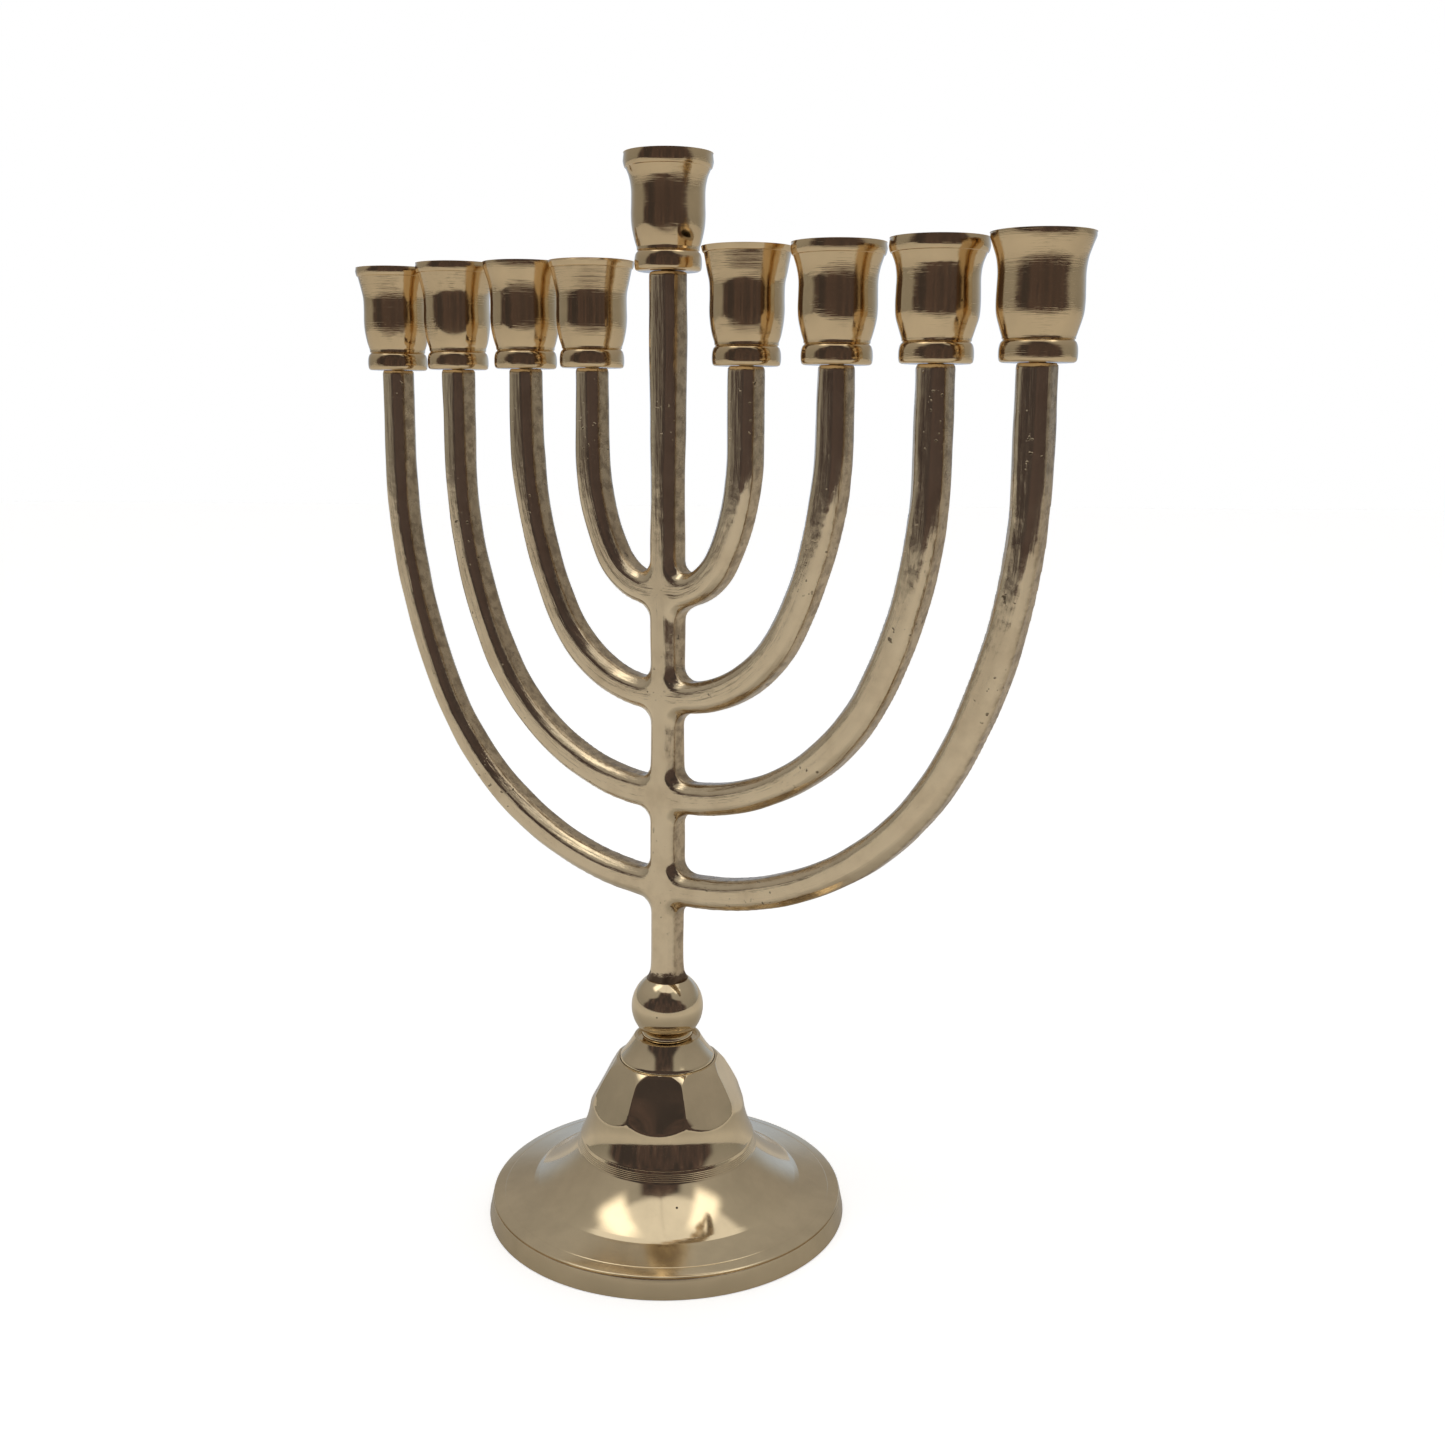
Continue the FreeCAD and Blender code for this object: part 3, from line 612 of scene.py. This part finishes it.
shape = np.empty(counts, np.float32)
deep = BAR_DEEP + 0.1 + FOOT_SPREAD * stem_foot * (np.abs(flat_x) < 8)
bevel_waver = (0.16 * np.sin(flat_z / 9.3 + flat_x / 12.1)
               + 0.05 * np.sin(flat_z / 3.2 - flat_x / 5.1))
for row, y in enumerate(ys):
    face_gap = abs(y) - deep
    bevel_gap = (outline_gap + face_gap + BEVEL + bevel_waver) / math.sqrt(2)
    solid = soft_max(soft_max(outline_gap, face_gap, EDGE_SOFT), bevel_gap, EDGE_SOFT)
    solid = soft_max(solid, above, 0.5)
    solid = soft_max(solid, stem_low - 0.3 - flat_z, 0.2)
    for top_x, top_z in arm_tops.values():
        hole = SCREW_HOLE - np.hypot(flat_x - top_x, y)
        solid = np.where(flat_z > top_z - SCREW_HOLE_DEPTH, np.maximum(solid, hole), solid)
    shape[:, row, :] = solid
grid = openvdb.FloatGrid(background=4.0)
grid.copyFromArray(np.clip(shape, -3, 3))
grid.transform = openvdb.createLinearTransform(voxelSize=SKIN)
points, quads = grid.convertToQuads(isovalue=0.0)
points = points + grid_low
casting = bpy.data.meshes.new("branch_casting")
casting.from_pydata((points * MM).tolist(), [], quads.tolist())
casting.validate()


def keep_bar_run(mesh, points):
    """Stores how far along its bar each point lies, how far across, and its depth, in millimetres.

    bar_alone is 0 where two bars meet and 1 a little away from there.
    """
    best = np.full(len(points), 1e9)
    second = np.full(len(points), 1e9)
    run = np.zeros((len(points), 3))
    stem_line = np.array([[0, stem_low - 5], [0, stem_high + 5]])
    for place, line in enumerate([stem_line] + bars):
        gap, along, side = away_from(line, points[:, 0], points[:, 2])
        closer = gap < best
        second = np.where(closer, best, np.minimum(second, gap))
        best = np.where(closer, gap, best)
        run[closer] = np.column_stack([along + 40 * place, side, points[:, 1]])[closer]
    layer = mesh.attributes.new("bar_run", "FLOAT_VECTOR", "POINT")
    layer.data.foreach_set("vector", run.ravel().astype(np.float32))
    layer = mesh.attributes.new("bar_alone", "FLOAT", "POINT")
    layer.data.foreach_set("value", np.clip((second - best - 0.6) / 2.0, 0, 1).astype(np.float32))


keep_bar_run(casting, points)


SIDE_BROWN = (0.40, 0.29, 0.175)
GRIME = (0.20, 0.14, 0.09)
PIT_BROWN = (0.10, 0.07, 0.04)
BRAZE_DARK = (0.13, 0.08, 0.05)


def cast_brass(name):
    """Cast brass, filed along its faces, with sand grain on the sides and a few dark pits."""
    m = Recipe(name)
    run = m.add("ShaderNodeAttribute", attribute_name="bar_run").outputs["Vector"]
    place = m.add("ShaderNodeTexCoord").outputs["Object"]
    normal = m.add("ShaderNodeNewGeometry").outputs["Normal"]
    facing = m.maths("ABSOLUTE", m.add("ShaderNodeSeparateXYZ", {"Vector": normal}).outputs["Y"])
    side_mask = m.ramp(facing, [(0.25, (1, 1, 1)), (0.75, (0, 0, 0))])
    file_marks = m.noise(m.stretch(run, (0.045, 1.5, 1.5)), 1.0, 4.0, 0.65)
    ripples = m.noise(m.stretch(run, (0.10, 0.55, 0.55)), 1.0, 2.5, 0.5)
    alone = m.add("ShaderNodeAttribute", attribute_name="bar_alone").outputs["Fac"]
    file_marks = m.maths("MULTIPLY", m.maths("SUBTRACT", file_marks, 0.5), alone)
    ripples = m.maths("MULTIPLY", m.maths("SUBTRACT", ripples, 0.5), alone)
    lumps = m.noise(place, 190.0, 2.0, 0.5)
    sand = m.noise(place, 1700.0, 3.0, 0.7)
    cloud = m.noise(place, 120.0, 4.0, 0.6)
    pits = m.fade(m.noise(place, 900.0, 1.0, 0.4), 0.70, 0.76)
    pits_here = m.maths("MULTIPLY", pits, m.fade(m.noise(place, 60.0, 1.0), 0.52, 0.62))
    tone = m.ramp(cloud, [(0.25, (0.66, 0.52, 0.34)), (0.5, (0.79, 0.64, 0.43)),
                          (0.8, (0.84, 0.69, 0.47))])
    tone = m.blend(m.maths("MULTIPLY", side_mask, 0.55), tone, SIDE_BROWN)
    grime = m.maths("MULTIPLY", side_mask, m.fade(m.noise(place, 420.0, 4.0, 0.65), 0.40, 0.66))
    tone = m.blend(m.maths("MULTIPLY", grime, 0.6), tone, GRIME)
    tone = m.blend(m.maths("MULTIPLY", pits_here, 0.8), tone, PIT_BROWN)
    braze = m.noise(place, 800.0, 3.0, 0.6)
    up = m.maths("MULTIPLY", m.add("ShaderNodeSeparateXYZ", {"Vector": place}).outputs["Z"], 1 / MM)
    up = m.maths("MULTIPLY_ADD", braze, -2.4, up)
    braze_here = m.fade(up, stem_low + 0.9, stem_low + 0.3)
    tone = m.blend(m.maths("MULTIPLY", braze_here, 0.85), tone, BRAZE_DARK)
    m.put(m.skin, "Base Color", tone)
    m.skin.inputs["Metallic"].default_value = 1.0
    rough = m.maths("MULTIPLY_ADD", side_mask, 0.16, 0.06)
    rough = m.maths("MULTIPLY_ADD", braze_here, 0.25, rough)
    m.put(m.skin, "Roughness", m.maths("MULTIPLY_ADD", cloud, 0.10, rough))
    sand_here = m.maths("MULTIPLY", sand, m.maths("MULTIPLY_ADD", side_mask, 0.85, 0.15))
    m.put(m.skin, "Normal", m.bumps([
        (ripples, 0.5, 0.26),
        (file_marks, 0.5, 0.16),
        (lumps, 0.5, 0.12),
        (sand_here, 0.5, 0.05),
        (pits_here, 0.8, -0.10),
        (m.maths("MULTIPLY", braze, braze_here), 0.6, 0.25),
    ]))
    return m.material


piece("branch_casting", casting, cast_brass("filed_casting"), "branches", "stem",
      *[f"arm_{s}_{n}" for s in ("left", "right") for n in range(1, 5)], crease=70)

# ---- Candle cups ---------------------------------------------------------------------------------
# Nine brass cups, each turned by hand, so no two rims, bellies or bands are quite alike. A groove
# at the waist parts the cup from its foot ring, and a sunk hole in the floor takes the screw.


PLAIN_CUP_HEIGHT = 24.6
BRIM_RADIUS = 10.35
BORE_RADIUS = 6.25
BORE_FLOOR = 7.7
SCREW_FLOOR = 5.2
SCREW_HEAD_HOLE = 3.0
SCREW_SHANK_HOLE = 1.6


def cup_outline(tall, band, belly, wide):
    """One cup's outline from its foot: foot ring, waist, belly, lip, bore, floor and screw hole.

    tall is its height, band that of the lip's upright band (0 for a plain flare), belly and wide
    what is added to the radii of its belly and its brim.
    """
    grown = tall / PLAIN_CUP_HEIGHT
    outside = smooth_run([(7.15, 0.0), (7.62, 0.35), (7.80, 1.3), (7.76, 2.8), (7.5, 3.8),
                          (7.12, 4.25)], 4)
    groove = [(7.02, 4.42), (7.24, 4.6), (7.28, 4.85)]
    brim = BRIM_RADIUS + wide
    curve = [(7.3, 5.0), (7.85, 6.7), (8.3 + belly, 9.2), (8.48 + belly, 11.6),
             (8.42 + belly, 14.4), (8.5 + 0.5 * belly, 17.2)]
    if band:
        step = tall / grown - band / grown
        curve += [(9.0, 19.6), (brim - 0.62, step - 0.1)]
        lip = [(brim - 0.36, step), (brim - 0.2, step + 0.35), (brim, step + 1.2)]
    else:
        curve += [(8.95, 19.8), (9.75, 22.3)]
        lip = [(brim - 0.2, 23.7)]
    body = smooth_run(curve, 6)
    scaled = [(r, z * grown) for r, z in groove[-1:] + body + lip]
    rim = eased([(brim + 0.02, tall, 0.22), (9.9, tall + 0.02, 0.2), (7.2, tall - 0.05, 0.4)])
    inside = [(BORE_RADIUS, tall - 0.9)] + eased([
        (BORE_RADIUS, BORE_FLOOR, 0.3), (SCREW_HEAD_HOLE, BORE_FLOOR, 0.2),
        (SCREW_HEAD_HOLE, SCREW_FLOOR, 0.1), (SCREW_SHANK_HOLE, SCREW_FLOOR, 0.1),
        (SCREW_SHANK_HOLE, 0.0, 0.2),
    ])
    return outside + groove[:2] + scaled + rim + inside


class Jig(Wiring):
    """A Geometry Nodes tree with named inputs that makes one plain mesh at a time."""

    def __init__(self, name, inputs):
        super().__init__(bpy.data.node_groups.new(name, "GeometryNodeTree"))
        face = self.tree.interface
        face.new_socket("Geometry", in_out="INPUT", socket_type="NodeSocketGeometry")
        self.keys = {}
        for label, kind, value in inputs:
            socket = face.new_socket(label, in_out="INPUT", socket_type=kind)
            if value is not None:
                socket.default_value = value
            self.keys[label] = socket.identifier
        face.new_socket("Geometry", in_out="OUTPUT", socket_type="NodeSocketGeometry")
        self.given = self.add("NodeGroupInput")
        self.result = self.add("NodeGroupOutput")

    def finish(self, geometry, material):
        real = self.add("GeometryNodeRealizeInstances", {"Geometry": geometry}).outputs[0]
        dressed = self.add("GeometryNodeSetMaterial", {"Geometry": real,
                                                       "Material": material}).outputs[0]
        self.tree.links.new(dressed, self.result.inputs[0])

    def make(self, name, mesh, values):
        """Runs the tree on a mesh and gives the plain mesh that comes out."""
        host = bpy.data.objects.new(f"{name}_blank", mesh)
        bpy.context.scene.collection.objects.link(host)
        modifier = host.modifiers.new("jig", "NODES")
        modifier.node_group = self.tree
        for label, value in values.items():
            modifier[self.keys[label]] = value
        seen = host.evaluated_get(bpy.context.evaluated_depsgraph_get())
        made = bpy.data.meshes.new_from_object(seen)
        made.name = name
        bpy.data.objects.remove(host)
        return made


CUP_PITS = [(78.1, -4.1, 225.2, 0.28), (78.7, 2.5, 225.5, 0.25), (77.2, -5.4, 227.6, 0.16),
            (76.4, -6.2, 226.9, 0.14), (76.9, -5.8, 225.7, 0.16)]
cup_brass = turned_brass("cup_brass", 0.08, 0.006, rings=4.5, patches=0.4, tint=(0.77, 0.585, 0.35),
                         chatter=0.10, dents=0.06, pits=CUP_PITS)

lathe = Jig("cup_lathe", [
    ("Steps", "NodeSocketInt", 144),
    ("Outline points", "NodeSocketInt", 64),
    ("Seat", "NodeSocketVector", (0, 0, 0)),
    ("Turn", "NodeSocketFloat", 0.0),
    ("Out of round", "NodeSocketFloat", 0.0),
    ("Seed", "NodeSocketFloat", 0.0),
    ("Finish", "NodeSocketMaterial", None),
])
given = lathe.given.outputs
rows = lathe.maths("ADD", given["Outline points"], 1)
columns = lathe.maths("ADD", given["Steps"], 1)
cloth = lathe.add("GeometryNodeMeshGrid", {"Size X": 1.0, "Size Y": 1.0, "Vertices X": columns,
                                           "Vertices Y": rows})
index = lathe.add("GeometryNodeInputIndex").outputs[0]
column = lathe.maths("FLOOR", lathe.maths("DIVIDE", lathe.maths("ADD", index, 0.5), rows))
row = lathe.maths("SUBTRACT", index, lathe.maths("MULTIPLY", column, rows))
outline_index = lathe.maths("MODULO", row, given["Outline points"])
outline_place = lathe.add("GeometryNodeInputPosition").outputs[0]
picked = lathe.add("GeometryNodeSampleIndex", {"Geometry": given["Geometry"],
                                               "Value": outline_place},
                   data_type="FLOAT_VECTOR", domain="POINT")
lathe.tree.links.new(outline_index, picked.inputs["Index"])
parts = lathe.add("ShaderNodeSeparateXYZ", {0: picked.outputs[0]}).outputs
step = lathe.maths("MODULO", column, given["Steps"])
angle = lathe.maths("MULTIPLY", lathe.maths("DIVIDE", step, given["Steps"]), 2 * math.pi)
cosine, sine = lathe.maths("COSINE", angle), lathe.maths("SINE", angle)
round_point = lathe.add("ShaderNodeCombineXYZ", {0: cosine, 1: sine}).outputs[0]
drift = lathe.add("ShaderNodeTexNoise", {"Vector": round_point, "W": given["Seed"], "Scale": 0.9,
                                         "Detail": 1.0}, noise_dimensions="4D").outputs["Fac"]
swell = lathe.maths("MULTIPLY", lathe.maths("SUBTRACT", drift, 0.5), given["Out of round"])
radius = lathe.maths("MULTIPLY", parts["X"], lathe.maths("ADD", swell, 1.0))
turned_point = lathe.add("ShaderNodeCombineXYZ", {
    0: lathe.maths("MULTIPLY", radius, cosine),
    1: lathe.maths("MULTIPLY", radius, sine),
    2: parts["Z"],
}).outputs[0]
shaped = lathe.add("GeometryNodeSetPosition", {"Geometry": cloth.outputs["Mesh"],
                                               "Position": turned_point}).outputs[0]
across = lathe.maths("MULTIPLY", parts["X"], 1 / MM)
up = lathe.maths("MULTIPLY", parts["Z"], 1 / MM)
turning = lathe.add("ShaderNodeCombineXYZ", {
    0: lathe.maths("MULTIPLY_ADD", cosine, OFF_CENTRE, across),
    1: lathe.maths("ADD", up, lathe.maths("MULTIPLY", given["Seed"], 37.0)),
    2: sine,
}).outputs[0]
marked = lathe.add("GeometryNodeStoreNamedAttribute", {"Geometry": shaped, "Name": "turning",
                                                       "Value": turning},
                   data_type="FLOAT_VECTOR", domain="POINT").outputs[0]
closed = lathe.add("GeometryNodeMergeByDistance", {"Geometry": marked, "Distance": 1e-6}).outputs[0]
spun = lathe.add("ShaderNodeCombineXYZ", {2: given["Turn"]}).outputs[0]
seated = lathe.add("GeometryNodeTransform", {"Geometry": closed, "Translation": given["Seat"],
                                             "Rotation": spun}).outputs[0]
lathe.finish(seated, given["Finish"])


def outline_blank(name, outline):
    """The outline as a loop of points, for the lathe to turn."""
    outline = np.array(outline)
    mesh = bpy.data.meshes.new(name)
    edges = [(k, (k + 1) % len(outline)) for k in range(len(outline))]
    mesh.from_pydata([(r * MM, 0, z * MM) for r, z in outline], edges, [])
    return mesh


# How tall each cup is, and how far its band, belly and brim stray
CUP_HABITS = {
    "middle": (25.9, 3.2, 0.10, 0.05),
    "left_1": (24.9, 1.6, 0.05, 0.0), "left_2": (25.6, 0.0, 0.10, 0.0),
    "left_3": (26.4, 2.4, 0.0, 0.0), "left_4": (26.2, 2.2, 0.05, 0.0),
    "right_1": (25.8, 1.2, 0.0, 0.0), "right_2": (25.5, 2.6, 0.15, 0.05),
    "right_3": (25.1, 2.9, 0.30, 0.05), "right_4": (24.9, 0.0, 0.25, 0.15),
}
for place, (where, (tall, band, belly, wide)) in enumerate(CUP_HABITS.items()):
    seat_x, seat_z = arm_tops[where]
    outline = cup_outline(tall, band, belly, wide)
    blank = outline_blank(f"cup_{where}_outline", outline)
    made = lathe.make(f"cup_{where}_turned", blank, {
        "Steps": 144, "Outline points": len(outline), "Seat": (seat_x * MM, 0.0, seat_z * MM),
        "Turn": 0.7 * place, "Out of round": 0.010, "Seed": 1.3 * place, "Finish": cup_brass,
    })
    piece(f"candle_cup_{where}", made, cup_brass, f"cup_{where}", f"cup_{where}")

# ---- Cup screws ----------------------------------------------------------------------------------
# A slotted M3 brass screw in the floor of each cup holds it down on its arm. It is a bought part,
# turned from bar, and its head lies below the floor.

screw_brass = turned_brass("screw_brass", 0.2, 0.004, rings=2.0, tint=(0.72, 0.55, 0.32))
driver = Jig("slotted_screw", [
    ("Shank radius", "NodeSocketFloat", 1.5 * MM),
    ("Shank length", "NodeSocketFloat", 12.2 * MM),
    ("Head radius", "NodeSocketFloat", 2.75 * MM),
    ("Head height", "NodeSocketFloat", 2.0 * MM),
    ("Slot width", "NodeSocketFloat", 0.8 * MM),
    ("Slot depth", "NodeSocketFloat", 0.9 * MM),
    ("Slot turn", "NodeSocketFloat", 0.0),
    ("Underside", "NodeSocketVector", (0, 0, 0)),
    ("Finish", "NodeSocketMaterial", None),
])
given = driver.given.outputs
shank = driver.add("GeometryNodeMeshCylinder", {"Vertices": 48, "Radius": given["Shank radius"],
                                               "Depth": given["Shank length"]}).outputs["Mesh"]
half_shank = driver.maths("MULTIPLY", given["Shank length"], -0.5)
half_down = driver.add("ShaderNodeCombineXYZ", {2: half_shank}).outputs[0]
shank = driver.add("GeometryNodeTransform", {"Geometry": shank,
                                             "Translation": half_down}).outputs[0]
head = driver.add("GeometryNodeMeshCylinder", {"Vertices": 48, "Radius": given["Head radius"],
                                              "Depth": given["Head height"]}).outputs["Mesh"]
half_head = driver.maths("MULTIPLY", given["Head height"], 0.5)
half_up = driver.add("ShaderNodeCombineXYZ", {2: half_head}).outputs[0]
head = driver.add("GeometryNodeTransform", {"Geometry": head, "Translation": half_up}).outputs[0]
slot_size = driver.add("ShaderNodeCombineXYZ", {
    0: driver.maths("MULTIPLY", given["Head radius"], 3.0),
    1: given["Slot width"],
    2: driver.maths("MULTIPLY", given["Slot depth"], 2.0),
}).outputs[0]
slot = driver.add("GeometryNodeMeshCube", {"Size": slot_size}).outputs["Mesh"]
slot_up = driver.add("ShaderNodeCombineXYZ", {2: given["Head height"]}).outputs[0]
slot = driver.add("GeometryNodeTransform", {"Geometry": slot, "Translation": slot_up}).outputs[0]
slotted = driver.add("GeometryNodeMeshBoolean", {"Mesh 1": head, "Mesh 2": slot},
                     operation="DIFFERENCE", solver="EXACT").outputs["Mesh"]
whole = driver.add("GeometryNodeMeshBoolean", {}, operation="UNION", solver="EXACT")
driver.tree.links.new(slotted, whole.inputs["Mesh 2"])
driver.tree.links.new(shank, whole.inputs["Mesh 2"])
driven = driver.add("ShaderNodeCombineXYZ", {2: given["Slot turn"]}).outputs[0]
screwed = driver.add("GeometryNodeTransform", {"Geometry": whole.outputs["Mesh"],
                                               "Rotation": driven,
                                               "Translation": given["Underside"]}).outputs[0]
driver.finish(screwed, given["Finish"])

for place, (where, (seat_x, seat_z)) in enumerate(arm_tops.items()):
    underside = Vector((seat_x * MM, 0.0, (seat_z + SCREW_FLOOR) * MM))
    blank = bpy.data.meshes.new("screw_blank")
    made = driver.make(f"cup_screw_{where}_turned", blank, {
        "Slot turn": 1.1 * place, "Underside": underside, "Finish": screw_brass,
    })
    keep_turning(made, underside)
    piece(f"floor_screw_{where}", made, screw_brass, f"cup_screw_{where}", f"cup_screw_{where}")

# ---- Floor, light and camera ---------------------------------------------------------------------
# A plain pale table under soft, even light. Polished brass shows whatever stands round it: a dim
# room on the viewer's side, windows high up all round, and grey walls.

floor_mesh = bpy.data.meshes.new("floor")
VIEWER_TURN = -0.907
TABLE_EDGE = 0.72
turned_floor = Matrix.Rotation(VIEWER_TURN, 3, "Z")
square = ((-3, -3, 0), (TABLE_EDGE, -3, 0), (TABLE_EDGE, 3, 0), (-3, 3, 0))
corners = [turned_floor @ Vector(corner) for corner in square]
floor_mesh.from_pydata(corners, [], [(0, 1, 2, 3)])
floor = bpy.data.objects.new("floor", floor_mesh)
bpy.context.scene.collection.objects.link(floor)
pale = Recipe("pale_floor")
pale.skin.inputs["Roughness"].default_value = 0.8
pale.skin.inputs["Emission Color"].default_value = (1, 1, 1, 1)
seen_straight = pale.add("ShaderNodeLightPath").outputs["Is Camera Ray"]
floor_place = pale.add("ShaderNodeTexCoord").outputs["Object"]
# Seen in the brass, the floor is painted darker from 5 to 22 cm round the foot: a painted contact
# shadow
from_foot = pale.add("ShaderNodeVectorMath", {0: floor_place}, operation="LENGTH").outputs["Value"]
mirrored_with_painted_shadow = pale.blend(pale.fade(from_foot, 0.05, 0.22), (0.64, 0.63, 0.61), (0.95, 0.94, 0.92))
pale.put(pale.skin, "Base Color", pale.blend(seen_straight, mirrored_with_painted_shadow, (0.92, 0.92, 0.92)))
pale.put(pale.skin, "Emission Strength", pale.maths("MULTIPLY", seen_straight, 0.53))
floor_mesh.materials.append(pale.material)

GLOOM_TURN = -1.08
GLOOM_HALF_WIDE = 105.0
GLOOM_NARROWS = ((-0.20, -0.02, 33.0), (0.10, 0.35, 12.0), (0.40, 0.68, 30.0), (0.83, 0.88, 32.0))
PANE_TURN = 70.0
world = bpy.data.worlds.new("studio")
bpy.context.scene.world = world
world.use_nodes = True
world.node_tree.nodes.clear()
room = Wiring(world.node_tree)
way = room.add("ShaderNodeTexCoord").outputs["Generated"]
way = room.add("ShaderNodeVectorRotate", {"Vector": way, "Angle": -GLOOM_TURN},
               rotation_type="Z_AXIS").outputs[0]
toward = room.add("ShaderNodeSeparateXYZ", {"Vector": way}).outputs
height = toward["Z"]
round_room = room.maths("ARCTAN2", toward["Y"], toward["X"])
aside = room.maths("DEGREES", room.maths("ABSOLUTE", round_room))
walls = room.ramp(room.maths("MULTIPLY_ADD", height, 0.5, 0.5), [
    (0.0, (0.30, 0.30, 0.30)), (0.5, (0.29, 0.29, 0.28)),
    (0.7, (0.35, 0.34, 0.33)), (1.0, (0.42, 0.42, 0.41)),
])
# Cool light from low on the far side
low_down = room.maths("SUBTRACT", 1.0, room.fade(height, 0.08, 0.34))
cool = room.maths("MULTIPLY", room.fade(aside, 110, 170), low_down)
walls = room.blend(cool, walls, (0.50, 0.60, 0.78))
window = room.fade(height, 0.84, 0.88)
walls = room.blend(window, walls, (0.90, 0.90, 0.89))
# A brighter pane to the left and to the right of whoever looks
from_pane = room.maths("ABSOLUTE", room.maths("SUBTRACT", aside, PANE_TURN))
pane_height = room.maths("MULTIPLY", room.fade(height, 0.74, 0.84), room.fade(height, 0.99, 0.94))
pane = room.maths("MULTIPLY", room.fade(from_pane, 24.0, 8.0), pane_height)
walls = room.blend(pane, walls, (1.8, 1.78, 1.7))
# The viewer's dim side, in degrees each way, is narrower with each step up
half_wide = GLOOM_HALF_WIDE
for low, high, narrower in GLOOM_NARROWS:
    narrowing = room.maths("MULTIPLY", room.fade(height, low, high), narrower)
    half_wide = room.maths("SUBTRACT", half_wide, narrowing)
gloom = room.fade(room.maths("SUBTRACT", half_wide, aside), -6.0, 6.0)
curtains = room.noise(room.stretch(way, (6.0, 6.0, 0.5)), 1.0, 3.0, 0.6)
dim = room.ramp(curtains, [(0.4, (0.055, 0.048, 0.052)), (0.6, (0.100, 0.074, 0.074)),
                           (0.75, (0.20, 0.16, 0.15))])
walls = room.blend(gloom, walls, dim)
sky = room.add("ShaderNodeBackground", {"Color": walls, "Strength": 1.0}).outputs[0]
backdrop = room.add("ShaderNodeBackground", {"Color": (1, 1, 1, 1), "Strength": 1.0}).outputs[0]
straight = room.add("ShaderNodeLightPath").outputs["Is Camera Ray"]
chosen = room.add("ShaderNodeMixShader", {0: straight, 1: sky, 2: backdrop}).outputs[0]
room.add("ShaderNodeOutputWorld", {0: chosen})

camera_data = bpy.data.cameras.new("camera")
camera_data.sensor_width = 36.0
camera_data.lens = 38.2
camera_data.clip_start = 0.01
camera = bpy.data.objects.new("camera", camera_data)
bpy.context.scene.collection.objects.link(camera)
bpy.context.scene.camera = camera
CAMERA_PLACE = (0.2270, -0.2904, 0.2030)
HEADING, DOWN, ROLL = 0.6270, 0.2006, 0.0084
forward = Vector((-math.sin(HEADING) * math.cos(DOWN), math.cos(HEADING) * math.cos(DOWN),
                  -math.sin(DOWN)))
right = Vector((math.cos(HEADING), math.sin(HEADING), 0))
up = right.cross(forward)
tilted_right = math.cos(ROLL) * right + math.sin(ROLL) * up
tilted_up = math.cos(ROLL) * up - math.sin(ROLL) * right
facing = Matrix((tilted_right, tilted_up, -forward)).transposed().to_4x4()
camera.matrix_world = Matrix.Translation(CAMERA_PLACE) @ facing


def soft_box(name, place, aim, width, height, power):
    """An area light that stands at place and faces aim."""
    data = bpy.data.lights.new(name, "AREA")
    data.shape = "RECTANGLE"
    data.size = width
    data.size_y = height
    data.energy = power
    lamp = bpy.data.objects.new(name, data)
    lamp.location = place
    lamp.rotation_euler = (Vector(aim) - Vector(place)).to_track_quat("-Z", "Y").to_euler()
    bpy.context.scene.collection.objects.link(lamp)
    return lamp


overhead = soft_box("overhead", (0.1, -0.1, 1.0), (0, 0, 0.1), 0.9, 0.9, 1.2)
overhead.visible_glossy = False

bpy.context.scene.view_settings.view_transform = "Standard"
